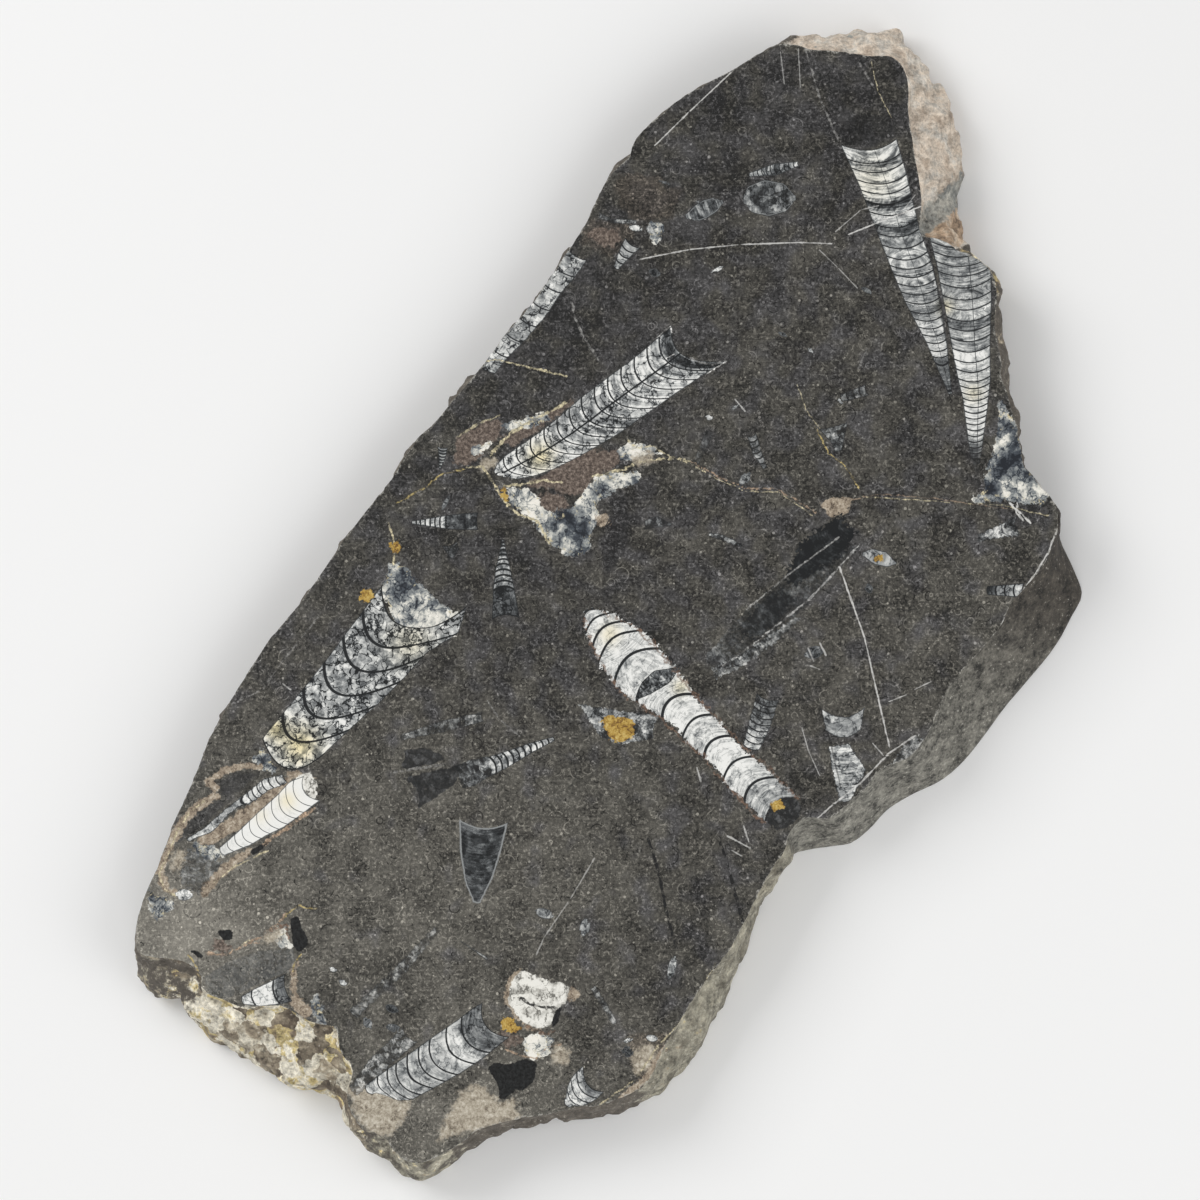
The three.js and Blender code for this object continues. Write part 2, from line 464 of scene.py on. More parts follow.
# %% [markdown]
# The large shells, each read from the photograph by its edges, its walls and how white its filling is.

# %% Large shells
LARGE_SHELLS = dict(
    upper_right_cone=Shell(
        [(842, 143), (860, 185), (880, 240), (893, 275), (905, 305), (925, 345), (947, 398)],
        [(898, 138), (908, 175), (920, 230), (932, 265), (940, 300), (946, 345), (951, 398)],
        chambers=[0, 16, 25, 38, 49, 60, 72, 86, 95, 108, 120, 130, 139, 149, 158, 168, 179, 187, 196, 204,
                  212, 221, 228, 234, 268],
        tone=[(0, 0.78), (13, 0.85), (15, 0.4), (19, 0.45), (22, 0.8), (55, 0.82), (57, 0.14), (64, 0.16),
              (66, 0.74), (80, 0.82), (83, 0.32), (91, 0.36), (93, 0.56), (113, 0.68), (143, 0.6),
              (168, 0.62), (172, 0.4), (178, 0.44), (181, 0.72), (222, 0.8), (225, 0.4), (256, 0.36)],
        tube=(0.1, 0.05), chord=(0.996, -0.089), wall=0.2, mottle=0.36, streak=0.65, crack=0.15,
    ),
    right_cone=Shell(
        [(927, 228), (937, 270), (942, 299), (948, 333), (952, 359), (957, 385), (961, 402), (967, 454),
         (973, 482)],
        [(990, 228), (991, 302), (990, 326), (989, 354), (989, 385), (986, 411), (980, 455), (976, 482)],
        chambers=[0, 14, 24, 34, 44, 56, 69, 79, 91, 101, 112, 123, 134, 144, 154, 161, 168, 174, 181, 187,
                  193, 199, 205, 211, 217, 223, 229, 235, 242, 254],
        tone=[(0, 0.58), (44, 0.6), (46, 0.62), (69, 0.66), (80, 0.84), (90, 0.78), (92, 0.42), (101, 0.5),
              (103, 0.62), (122, 0.66), (125, 0.78), (209, 0.86), (216, 0.6), (229, 0.35), (254, 0.2)],
        tube=(0.2, 0.08), wall=0.2, mottle=0.36, streak=0.55, crack=0.15, fade=40, layer=1,
    ),
    split_cone=Shell(
        [(672, 325), (657, 337), (642, 350), (629, 360), (603, 379), (580, 396), (555, 418), (535, 433),
         (505, 453), (497, 461)],
        [(727, 361), (707, 373), (679, 391), (646, 414), (619, 433), (580, 455), (553, 468), (535, 474),
         (513, 478), (502, 473)],
        tone=[(0, 0.16), (11, 0.16), (14, 0.64), (40, 0.7), (85, 0.66), (100, 0.5), (120, 0.5), (140, 0.6),
              (170, 0.75), (230, 0.75)],
        chambers=14, bow=0.58, wall=0.22, tube=(-0.1, 0.3), mottle=0.62, streak=0.35, crack=0.55, glow=0.3,
        chord=(0.83, 0.56),
    ),
    great_left_shell=Shell(
        [(386, 576), (367, 602), (347, 628), (327, 655), (303, 685), (284, 708), (262, 735)],
        [(465, 611), (458, 632), (428, 650), (405, 675), (380, 700), (355, 722), (325, 750)],
        tone=[(0, 0.7), (28, 0.7), (34, 0.6), (70, 0.66), (110, 0.66), (140, 0.7), (180, 0.74)],
        chambers=6, bow=0.72, wall=0.42, mottle=0.85, streak=0.0, crack=0.7, chord=(0.966, 0.25),
    ),
    white_middle_shell=Shell(
        [(796, 800), (782, 786), (769, 774), (750, 756), (739, 747), (721, 726), (706, 710), (693, 696),
         (686, 683), (675, 669), (659, 649), (650, 638), (632, 626), (612, 613), (594, 609)],
        [(763, 822), (750, 809), (737, 796), (723, 783), (718, 771), (698, 753), (682, 739), (678, 729),
         (658, 716), (635, 702), (618, 688), (608, 675), (599, 664), (594, 648), (586, 633), (584, 618)],
        chambers=[0, 29, 58, 87, 115, 142, 169, 198, 224, 240, 255, 268],
        tone=[(0, 0.66), (26, 0.72), (30, 0.86), (60, 0.9), (170, 0.98), (200, 0.86), (214, 0.9),
              (268, 0.9)],
        bow=0.45, wall=0.42, mottle=0.4, streak=0.4, crack=0.22, fray=1.9, outline=0.05, chord=(0.8, -0.6),
    ),
    lower_cone=Shell(
        [(500, 990), (475, 1003), (458, 1016), (440, 1028), (413, 1047), (390, 1063), (368, 1079)],
        [(497, 1043), (486, 1052), (465, 1066), (440, 1080), (413, 1094), (400, 1094), (378, 1086)],
        chambers=[0, 29, 50, 74, 89, 105, 121, 133, 147, 165],
        tone=[(0, 0.4), (28, 0.42), (30, 0.82), (50, 0.75), (72, 0.58), (105, 0.6), (121, 0.78),
              (165, 0.85)],
        bow=0.5, mottle=0.4, streak=0.3, crack=0.25, glow=0.15, chord=(0.617, 0.787),
    ),
    white_left_shell=Shell(
        [(309, 771), (290, 778), (278, 791), (258, 809), (239, 827), (223, 841)],
        [(317, 800), (300, 813), (284, 824), (265, 833), (252, 841), (239, 846), (226, 851)],
        tone=[(0, 1.05), (80, 1.05), (100, 0.9), (130, 0.66)],
        chambers=11, bow=0.5, wall=0.1, mottle=0.1, streak=0.12, crack=0.06,
    ),
    thin_left_shell=Shell(
        [(288, 770), (264, 775), (246, 790), (227, 804), (205, 823), (187, 834)],
        [(285, 781), (269, 787), (252, 799), (239, 803), (229, 811), (214, 827), (192, 836)],
        chambers=[0, 8, 16, 24, 31, 38, 44, 50, 128],
        tone=[(0, 0.62), (12, 0.86), (48, 0.84), (56, 0.5), (85, 0.78), (128, 0.8)],
        wall=0.2, mottle=0.7, fray=0.4, layer=1,
    ),
    left_rim_shell=Shell(
        [(558, 245), (532, 281), (507, 315), (485, 345), (474, 354)],
        [(592, 248), (575, 273), (560, 290), (548, 309), (527, 334), (506, 355)],
        chambers=7, tone=0.68, bow=0.25, wall=0.2, mottle=0.7, crack=0.6, fray=0.4,
    ),
)
print("large shells:", ", ".join(LARGE_SHELLS))

# %% [markdown]
# Smaller shells, some of them filled with dark mud or cut so shallow that they hardly show.

# %% Small shells
SMALL_SHELLS = [
    Shell([(623, 238), (617, 252), (614, 263)], [(645, 241), (632, 252), (619, 266)], chambers=4, tone=0.62),
    # little cone lying across, below the left veins
    Shell([(478, 510), (450, 512), (430, 515), (411, 518)], [(478, 528), (450, 527), (430, 524), (411, 521)],
          chambers=[0, 33, 38, 43, 48, 53, 58, 62, 67], tone=[(0, 0.2), (32, 0.28), (34, 0.72), (67, 0.75)],
          bow=0.12, mottle=0.7),
    # little cone standing tip up
    Shell([(492, 618), (493, 590), (495, 570), (499, 552), (502, 538)],
          [(520, 618), (515, 590), (511, 570), (507, 552), (504, 538)],
          chambers=[0, 30, 36, 42, 48, 54, 59, 64, 69, 73, 77, 80],
          tone=[(0, 0.26), (28, 0.3), (31, 0.6), (80, 0.58)], wall=0.33, mottle=0.7),
    # striped tip of the shell with the black body
    Shell([(484, 757), (500, 752), (530, 742), (553, 736)], [(490, 775), (505, 768), (532, 752), (555, 740)],
          chambers=11, tone=0.68, wall=0.3, mottle=0.8),
    unwalled([(483, 710), (445, 718), (402, 732)], [(485, 720), (447, 730), (402, 738)],
             tone=0.4, mottle=1.2, show=0.6, fray=0.6),
    # dark tongue with a pale border
    unwalled([(460, 820), (461, 850), (466, 880), (474, 899)],
             [(509, 818), (503, 845), (494, 875), (482, 899)],
             tone=0.27, mottle=0.45, streak=0.3, crack=0.1, rim=0.6, outline=0.0, fray=0.25),
    # grey wedge with the ochre spot
    unwalled([(657, 716), (620, 711), (578, 704)], [(657, 738), (622, 744), (600, 737), (580, 706)],
             tone=0.5, mottle=1.1, show=0.9, fray=0.9, outline=0.0, layer=1),
    # dark crystal lens in the white shell
    unwalled([(635, 699), (641, 683), (654, 671), (678, 668)],
             [(637, 700), (650, 695), (669, 684), (679, 671)],
             tone=0.34, mottle=0.9, streak=0.4, bow=0.0, layer=1),
    # mottled chamber behind the black bodies
    unwalled([(458, 763), (472, 758), (488, 755)], [(460, 786), (474, 785), (491, 774)],
             tone=0.22, mottle=1.2, bow=0.0, fray=0.6, outline=0.0, show=0.85, layer=1),
    # long dark cone right of the middle
    unwalled([(838, 540), (790, 575), (745, 612), (714, 648)],
             [(862, 547), (812, 600), (780, 632), (740, 665), (718, 672)],
             tone=[(0, 0.16), (90, 0.16), (130, 0.2), (160, 0.36), (190, 0.48)], mottle=0.8, show=0.55,
             fray=1.2, outline=0.0),
    # black crystals at its wide end
    unwalled([(848, 514), (822, 528), (800, 545), (785, 578)],
             [(852, 540), (838, 562), (818, 572), (800, 584)],
             tone=0.06, crack=0.0, fray=3.2, layer=1),
    # pale almond
    unwalled([(860, 556), (870, 552), (885, 556), (894, 566)],
             [(860, 559), (872, 568), (885, 571), (894, 568)],
             tone=0.66, rim=0.5, mottle=0.4),
    # speckled oval near the upper end
    unwalled([(744, 196), (748, 184), (765, 177), (785, 181), (797, 194)],
             [(744, 200), (752, 211), (770, 215), (788, 210), (797, 198)],
             tone=0.34, rim=0.5, mottle=0.75, bow=0.0, show=0.9),
    Shell([(800, 159), (775, 161), (750, 170)], [(800, 164), (778, 173), (752, 174)],
          chambers=11, tone=0.5, wall=0.15, mottle=0.8, rim=0.3),
    unwalled([(724, 197), (715, 194), (705, 196), (695, 202), (687, 211)],
             [(724, 200), (719, 208), (709, 215), (698, 219), (687, 216)],
             tone=0.48, rim=0.5, streak=0.5, crack=0.2, bow=0.0),
    # striped shell beside the white one
    Shell([(755, 696), (748, 722), (742, 745)], [(778, 700), (769, 728), (758, 751)],
          chambers=8, tone=[(0, 0.36), (24, 0.44), (27, 0.64), (55, 0.74)], wall=0.2, mottle=0.7, fray=0.5,
          show=0.9, layer=1),
    unwalled([(819, 712), (823, 730)], [(862, 709), (858, 732)], tone=0.68, bow=0.45, fray=0.4),
    unwalled([(826, 748), (830, 775), (836, 802)], [(846, 745), (863, 772), (848, 802)],
             tone=0.7, mottle=0.6, streak=0.5, bow=0.1, fray=0.8),
    Shell([(747, 437), (752, 455), (762, 470)], [(756, 435), (761, 452), (767, 469)],
          chambers=6, tone=0.5, show=0.8),
    unwalled([(706, 430), (692, 465)], [(714, 433), (698, 467)], tone=0.3, mottle=1.0, show=0.5),
    Shell([(868, 386), (840, 397)], [(866, 399), (844, 404)], chambers=4, tone=0.45, mottle=0.9, show=0.7),
    unwalled([(816, 429), (832, 447)], [(847, 427), (841, 453)], tone=0.45, mottle=1.0, show=0.8, bow=0.1),
    # white shell above the broken corner
    Shell([(291, 967), (279, 973), (254, 985), (244, 991)],
          [(291, 997), (284, 999), (262, 1001), (246, 999)],
          chambers=[0, 12, 37, 48], tone=[(0, 0.4), (11, 0.42), (13, 0.9), (48, 0.95)], mottle=0.35,
          bow=0.25),
    # pale cup at the lower rim
    Shell([(584, 1060), (573, 1070), (567, 1082), (566, 1094)],
          [(604, 1086), (596, 1094), (584, 1100), (570, 1101)],
          chambers=4, tone=[(0, 0.5), (8, 0.75), (40, 0.8)], wall=0.2, bow=0.5, chord=(0.61, 0.79)),
    Shell([(437, 443), (438, 455), (438, 465)], [(447, 443), (445, 455), (440, 465)], chambers=7, tone=0.66),
    unwalled([(436, 536), (450, 556)], [(459, 547), (453, 556)], tone=0.3, mottle=0.8, show=0.8),
    # pale streaks in the lower left
    unwalled([(437, 922), (400, 960), (352, 1005)], [(441, 928), (408, 968), (360, 1012)],
             tone=0.42, mottle=1.4, show=0.5, fray=0.8),
    unwalled([(405, 1022), (370, 1056), (352, 1080)], [(420, 1037), (387, 1064), (362, 1088)],
             tone=0.45, mottle=1.3, show=0.65, fray=0.8, layer=1),
    unwalled([(460, 936), (486, 952)], [(464, 940), (488, 957)], tone=0.5, mottle=1.0, show=0.7),
    # short striped shell cut by the sawn edge
    Shell([(1022, 589), (984, 591)], [(1018, 603), (984, 600)],
          chambers=4, tone=[(0, 0.72), (16, 0.65), (26, 0.3), (40, 0.2)]),
    unwalled([(1014, 522), (974, 540)], [(1016, 541), (980, 546)],
             tone=0.5, mottle=1.4, show=0.85, fray=1.2),
    # smoky stone at the tips of the two left shells
    unwalled([(186, 850), (180, 866), (184, 882)], [(228, 854), (216, 868), (204, 882)],
             tone=0.42, mottle=0.6, streak=0.35, bow=0.0, show=0.6, fray=1.5, outline=0.0, layer=1),
    unwalled([(590, 985), (602, 1003), (612, 1020)], [(595, 982), (607, 1000), (617, 1018)],
             tone=0.45, mottle=1.3, show=0.6, fray=0.6),
    unwalled([(597, 206), (612, 214), (634, 215)], [(600, 214), (615, 219), (636, 220)],
             tone=0.46, mottle=1.2, show=0.7, fray=0.5),
    # smooth grey panel above the broken corner
    unwalled([(300, 944), (262, 946), (232, 956), (206, 972)],
             [(296, 966), (276, 972), (250, 984), (222, 996)],
             tone=0.4, mottle=0.12, bow=0.0, show=0.35, fray=0.5, outline=0.0, layer=1),
    unwalled([(642, 522), (656, 516), (671, 524)], [(645, 530), (658, 528), (671, 526)],
             tone=0.25, mottle=1.2, show=0.7, layer=1),
    unwalled([(708, 533), (724, 537), (740, 545)], [(708, 537), (724, 543), (740, 549)],
             tone=0.55, mottle=1.3, show=0.8, fray=0.6, layer=1),
    # frost along the long dark cone
    unwalled([(796, 618), (765, 640), (738, 656), (714, 668)],
             [(798, 623), (770, 648), (742, 668), (716, 680)],
             tone=0.5, mottle=1.3, bow=0.0, show=0.6, fray=1.2, outline=0.0, layer=1),
    # black crystals in the middle of that cone
    unwalled([(782, 588), (760, 604), (742, 626)], [(792, 604), (776, 626), (752, 642)],
             tone=0.06, mottle=0.6, bow=0.0, crack=0.0, show=0.8, fray=3.2, outline=0.0, layer=1),
    # frosted place at the sawn rim
    unwalled([(914, 734), (899, 750), (884, 772)], [(920, 748), (910, 766), (894, 792)],
             tone=0.52, mottle=1.3, bow=0.0, show=0.65, fray=1.6, outline=0.0, layer=1),
]
print(len(SMALL_SHELLS), "small shells")

# %% [markdown]
# The smallest are plain ovals, cuts across tiny shells. One row gives each its place, size, turn and tone.

# %% Ovals
OVALS = [  # x, y, length, width, turn in degrees, tone
    (545, 911, 20, 10, 15, 0.62), (585, 925, 18, 11, -75, 0.6), (671, 965, 24, 9, -75, 0.66),
    (345, 978, 9, 6, 20, 0.75), (370, 1018, 13, 9, 60, 0.5), (394, 1004, 14, 8, 25, 0.42),
    (396, 1023, 17, 8, 15, 0.45), (335, 965, 9, 5, 20, 0.8), (655, 270, 12, 9, 0, 0.25),
    (700, 200, 7, 4, 0, 0.5), (867, 292, 12, 5, 30, 0.5), (735, 408, 10, 4, -40, 0.6),
    (783, 335, 10, 4, 20, 0.45), (812, 655, 20, 13, -15, 0.4), (718, 268, 14, 5, -30, 0.95),
    (665, 178, 12, 3, 0, 0.5), (445, 500, 16, 5, -60, 0.5), (636, 224, 14, 7, 0, 0.85),
    (651, 226, 9, 10, 0, 0.7), (709, 418, 8, 6, 0, 0.85), (867, 592, 10, 8, 60, 0.3),
    (185, 890, 18, 12, 0, 0.85), (651, 1034, 12, 7, 10, 0.8), (628, 1036, 10, 5, -30, 0.85),
    (627, 1047, 12, 12, 0, 0.25), (811, 352, 6, 5, 0, 0.6), (840, 404, 6, 6, 0, 0.6),
    (745, 480, 16, 10, -50, 0.45),
]
OVAL_ARC = np.radians(np.linspace(10, 170, 7))  # angles of the points on each edge
OVAL_LOOK = dict(rim=0.25, mottle=0.6, bow=0.0, outline=0.15, layer=1)


def oval(x, y, length, width, turn, tone):
    """A small rounded shell: both edges are arcs of an ellipse about the place given."""
    c, s = np.cos(np.radians(turn)), np.sin(np.radians(turn))
    flat = np.stack((np.cos(OVAL_ARC) * length / 2, np.sin(OVAL_ARC) * width / 2), -1)
    near, far = (flat * (1, side) @ np.array(((c, s), (-s, c))) + (x, y) for side in (1, -1))
    return unwalled(near, far, tone=tone, **OVAL_LOOK)


SHELLS = list(LARGE_SHELLS.values()) + SMALL_SHELLS + [oval(*row) for row in OVALS]
print(f"{len(SHELLS)} shells in the face")

# %% [markdown]
# ## Coordinates along and across each shell
# Every cell of the face belongs to the nearest shell of its layer. Its corners carry how many chambers
# they lie from the wide end and where they lie between the two edges. These numbers change
# almost evenly across a cell, so the shader can draw a wall finer than the cell itself.

# %% Shell coordinates
LEAST_HALF = 0.05  # mm, so that a tip is never without width


def chamber_places(shell, length):
    """Distances of the chamber walls from the wide end, in mm."""
    if isinstance(shell.chambers, int):
        return np.linspace(0, length, shell.chambers + 1)
    walls = np.asarray(shell.chambers, float)
    return walls / walls[-1] * length


def shell_frame(shell):
    """Start, direction along and direction across, from the middles of its two ends or its walls."""
    near, far = on_face(shell.near), on_face(shell.far)
    start = (near[0] + far[0]) / 2
    along = (near[-1] + far[-1]) / 2 - start
    if shell.chord:
        chord = np.array(shell.chord) * (1, -1)
        square = np.array((-chord[1], chord[0]))
        along = square * np.sign(square @ along)
    along = along / np.linalg.norm(along)
    return near, far, start, along, np.array((-along[1], along[0]))


def shell_place(shell, xy):
    """For each point: distance along, place between the edges from -1 to 1, half width, in mm."""
    near, far, start, along, across = shell_frame(shell)
    u, v = (xy - start) @ along, (xy - start) @ across
    edges = []
    for edge in (near, far):
        edge_u, edge_v = (edge - start) @ along, (edge - start) @ across
        order = np.argsort(edge_u)
        edges.append(np.interp(u, edge_u[order], edge_v[order]))
    side = np.sign(np.sum(edges[1] - edges[0])) or 1.0
    half = np.maximum(side * (edges[1] - edges[0]) / 2, LEAST_HALF)
    length = max(((edge - start) @ along).max() for edge in (near, far))
    return u, side * (v - (edges[0] + edges[1]) / 2) / half, half, length


def shell_distance(shell, xy):
    """How far points lie outside a shell, in mm, and 0 inside it."""
    u, t, half, length = shell_place(shell, xy)
    beside = np.maximum(np.abs(t) - 1, 0) * half
    beyond = np.maximum(np.maximum(-u, u - length - shell.bow * half), 0)
    return np.hypot(beside, beyond)


def shell_numbers(shell, xy):
    """What the shader needs at each point: chambers counted, place across, curve of walls, filling."""
    u, t, half, length = shell_place(shell, xy)
    walls = chamber_places(shell, length)
    steps = np.diff(walls)
    count = np.interp(u, walls, np.arange(len(walls)))
    count += np.minimum(u, 0) / steps[0] + np.maximum(u - length, 0) / steps[-1]
    spacing = np.interp(u, (walls[1:] + walls[:-1]) / 2, steps)
    bow = shell.bow * half / spacing
    if np.isscalar(shell.tone):
        tone = np.full_like(u, shell.tone)
    else:
        at, value = np.array(shell.tone, float).T
        curved = u - shell.bow * half * np.maximum(1 - t * t, 0)
        tone = np.interp(curved * PIXELS_PER_MM, at, value)
    show = np.full_like(u, shell.show)
    if shell.fade:
        show *= np.clip((length - u) * PIXELS_PER_MM / shell.fade, 0, 1)
    return (
        np.stack((count, t, bow), -1),
        np.stack((spacing, half, tone), -1),
        np.stack((show, np.full_like(u, len(steps)), np.full_like(u, shell.mottle)), -1),
    )


def write_shell_layer(layer):
    """Gives each cell of the face its nearest shell on this layer and writes the shells' numbers."""
    shells = [shell for shell in SHELLS if shell.layer == layer]
    owner = np.argmin([shell_distance(shell, middle_xy) for shell in shells], axis=0)
    corner_owner = np.repeat(owner, 4)
    tables = np.zeros((3, face_corners, 3))
    for number, shell in enumerate(shells):
        mine = corner_owner == number
        tables[:, mine] = shell_numbers(shell, corner_xy[mine])
    for name, table in zip(("chambers", "size", "filling"), tables):
        store(f"shell_{name}_{layer}", "CORNER", table)
    lines = np.array([(shell.wall, *shell.tube) for shell in shells])
    borders = np.array([(shell.fray, shell.rim, shell.outline) for shell in shells])
    looks = np.array([(shell.streak, shell.crack, shell.glow) for shell in shells])
    store(f"shell_lines_{layer}", "FACE", lines[owner])
    store(f"shell_borders_{layer}", "FACE", borders[owner])
    store(f"shell_look_{layer}", "FACE", looks[owner])
    print(f"layer {layer}: {len(shells)} shells")


for layer in (0, 1):
    write_shell_layer(layer)

# %% [markdown]
# ## Patches
# Rust, crystals, ochre and pits filled with black are areas with ragged borders. For each kind the mesh
# carries the distance to the nearest outline, less than 0 inside. The shader shifts that distance by noise
# before it cuts, so a handful of points gives a natural border.

# %% Outlines of the patches
PATCHES = dict(
    rust=[
        [(456, 434), (478, 422), (495, 414), (502, 422), (499, 434), (487, 445), (478, 457), (464, 464),
         (454, 460)],
        [(550, 469), (578, 453), (595, 448), (618, 450), (621, 462), (602, 474), (592, 476), (590, 493),
         (576, 496), (554, 488), (533, 486), (526, 483), (540, 477)],
        [(537, 493), (564, 493), (568, 503), (554, 512), (542, 507)],
        [(582, 228), (598, 222), (618, 225), (622, 233), (612, 244), (602, 240), (592, 234)],
        [(500, 433), (520, 425), (545, 412), (565, 402), (578, 396), (560, 412), (535, 430), (510, 446)],
        [(497, 1035), (505, 1025), (518, 1031), (524, 1036), (510, 1044)],
        [(215, 932), (222, 936), (235, 944), (226, 950), (216, 946)],
    ],
    tan=[
        [(292, 772), (282, 778), (268, 788), (252, 800), (238, 808), (222, 820), (208, 828), (198, 834),
         (201, 842), (216, 838), (234, 828), (250, 819), (266, 806), (280, 794), (292, 782)],
        [(216, 788), (199, 795), (186, 806), (175, 820), (168, 835), (160, 850), (157, 866), (159, 878),
         (168, 887), (176, 891), (178, 886), (170, 880), (165, 870), (167, 858), (173, 844), (180, 832),
         (188, 818), (200, 806), (213, 799), (221, 793)],
        [(252, 843), (238, 849), (226, 859), (216, 868), (208, 876), (200, 884), (204, 892), (212, 888),
         (218, 880), (228, 869), (240, 859), (252, 850)],
        [(716, 966), (690, 1014), (660, 1046), (640, 1074), (612, 1096), (642, 1090), (662, 1056),
         (686, 1018)],
        [(262, 762), (262, 768), (243, 765), (228, 769), (214, 777), (219, 783), (219, 790), (212, 784),
         (204, 781), (203, 776), (216, 768), (226, 763), (239, 759), (250, 759)],
        [(286, 767), (305, 769), (318, 776), (308, 776), (290, 774)],
        [(294, 957), (301, 957), (298, 972), (300, 990), (313, 1002), (316, 1010), (303, 1013), (295, 1002),
         (292, 975)],
        [(820, 505), (835, 500), (850, 502), (845, 516), (828, 520)],
        [(512, 968), (522, 966), (514, 984), (518, 1004), (528, 1018), (545, 1026), (528, 1026), (514, 1012),
         (504, 994)],
        [(595, 514), (608, 514), (611, 524), (600, 528)],
        [(560, 982), (574, 984), (582, 992), (572, 998), (562, 992)],
    ],
    crust=[
        [(350, 1082), (366, 1078), (386, 1086), (405, 1094), (414, 1086), (410, 1106), (396, 1126),
         (380, 1132), (364, 1118)],
        [(462, 1086), (480, 1078), (500, 1094), (516, 1096), (522, 1110), (500, 1120), (470, 1124),
         (440, 1134), (448, 1112)],
        [(552, 1043), (560, 1040), (570, 1048), (566, 1060), (554, 1058)],
        [(170, 848), (178, 845), (187, 850), (188, 859), (181, 866), (172, 864)],
        [(634, 1044), (652, 1040), (656, 1052), (648, 1066), (636, 1068), (632, 1056)],
        [(262, 935), (275, 925), (286, 924), (282, 934), (270, 940)],
        [(633, 456), (650, 452), (660, 460), (640, 466)],
        [(480, 458), (494, 456), (496, 466), (482, 468)],
    ],
    crystal=[
        [(506, 486), (526, 486), (540, 496), (540, 507), (554, 511), (571, 510), (578, 497), (592, 483),
         (595, 476), (619, 471), (642, 471), (636, 483), (616, 490), (595, 503), (602, 514), (592, 527),
         (590, 546), (581, 555), (567, 555), (555, 548), (540, 531), (533, 519), (512, 505)],
        [(618, 452), (628, 440), (650, 445), (662, 453), (636, 458), (621, 460)],
        [(502, 422), (526, 415), (544, 410), (550, 419), (526, 427), (506, 429)],
        [(470, 444), (486, 439), (494, 440), (484, 449), (472, 452)],
        [(380, 588), (390, 560), (404, 562), (416, 578), (436, 598), (459, 612), (459, 632), (432, 640),
         (396, 622)],
        [(997, 405), (1010, 420), (1016, 440), (1024, 455), (1034, 482), (1048, 500), (1040, 512),
         (1018, 508), (1000, 505), (985, 508), (968, 507), (980, 495), (985, 475), (992, 455), (996, 430)],
        [(270, 930), (288, 922), (291, 934), (295, 946), (282, 941)],
        [(194, 838), (214, 842), (228, 848), (216, 856), (200, 852)],
        [(252, 757), (262, 742), (272, 756), (276, 768), (264, 768)],
        [(318, 985), (328, 1012), (334, 1030), (322, 1024), (312, 1004)],
        [(526, 1034), (540, 1028), (552, 1034), (552, 1050), (536, 1054), (524, 1046)],
        [(150, 884), (160, 890), (174, 896), (172, 908), (158, 914), (150, 906)],
        [(650, 218), (662, 220), (666, 232), (656, 240), (648, 232)],
    ],
    white=[
        [(516, 972), (524, 967), (536, 971), (548, 978), (560, 979), (571, 984), (569, 993), (561, 1003),
         (552, 1021), (538, 1024), (524, 1018), (514, 1006), (508, 996)],
        [(296, 775), (304, 769), (311, 770), (317, 779), (318, 790), (314, 800), (306, 804), (298, 795)],
    ],
    ochre=[
        [(599, 718), (608, 716), (622, 716), (634, 720), (636, 728), (632, 737), (622, 742), (611, 741),
         (607, 732)],
        [(359, 588), (370, 585), (374, 594), (368, 600), (360, 597)],
        [(389, 541), (397, 538), (401, 547), (393, 551)],
        [(504, 1013), (516, 1016), (522, 1024), (512, 1029), (503, 1024)],
        [(770, 804), (780, 800), (783, 808), (773, 813)],
        [(326, 1022), (334, 1020), (338, 1032), (330, 1038), (324, 1030)],
        [(874, 558), (882, 559), (881, 565), (874, 564)],
        [(497, 484), (506, 488), (508, 500), (500, 496)],
    ],
    slate=[
        [(768, 806), (780, 798), (792, 799), (799, 807), (797, 818), (788, 827), (774, 830), (764, 821)],
        [(402, 747), (426, 746), (439, 751), (448, 756), (433, 762), (407, 767), (401, 765), (407, 756)],
        [(403, 775), (417, 773), (451, 765), (460, 764), (461, 772), (455, 783), (439, 794), (419, 806),
         (420, 794), (414, 783)],
    ],
    black=[
        [(487, 1060), (500, 1057), (510, 1060), (525, 1053), (538, 1058), (535, 1076), (524, 1086),
         (516, 1083), (506, 1095), (501, 1093), (500, 1080), (491, 1066)],
        [(291, 913), (300, 912), (304, 925), (310, 936), (307, 944), (299, 949), (294, 936), (292, 922)],
        [(215, 928), (224, 925), (233, 925), (236, 935), (229, 936)],
        [(192, 946), (198, 944), (207, 950), (202, 954)],
        [(552, 1018), (557, 1004), (563, 1002), (560, 1016), (553, 1024)],
        [(251, 847), (258, 842), (270, 837), (267, 842), (258, 849), (251, 852)],
    ],
    dark=[
        [(252, 768), (260, 769), (239, 788), (221, 791), (219, 777), (232, 769)],
        [(219, 795), (226, 799), (216, 811), (201, 824), (187, 833), (174, 842), (173, 839), (181, 827),
         (192, 811), (201, 800)],
        [(840, 122), (862, 112), (892, 115), (899, 136), (870, 147), (843, 141)],
        [(1024, 498), (1035, 497), (1047, 503), (1050, 508), (1035, 515), (1028, 523), (1021, 518),
         (1013, 507)],
    ],
    brown=[
        [(620, 168), (660, 170), (663, 183), (685, 185), (679, 198), (672, 215), (646, 217), (635, 215),
         (622, 204), (613, 177)],
        [(630, 1030), (665, 1028), (668, 1060), (645, 1078), (628, 1060)],
        [(590, 212), (612, 218), (632, 218), (634, 232), (622, 248), (612, 254), (598, 246), (580, 238)],
    ],
)
FAR_AWAY = 20.0  # mm, the largest distance kept


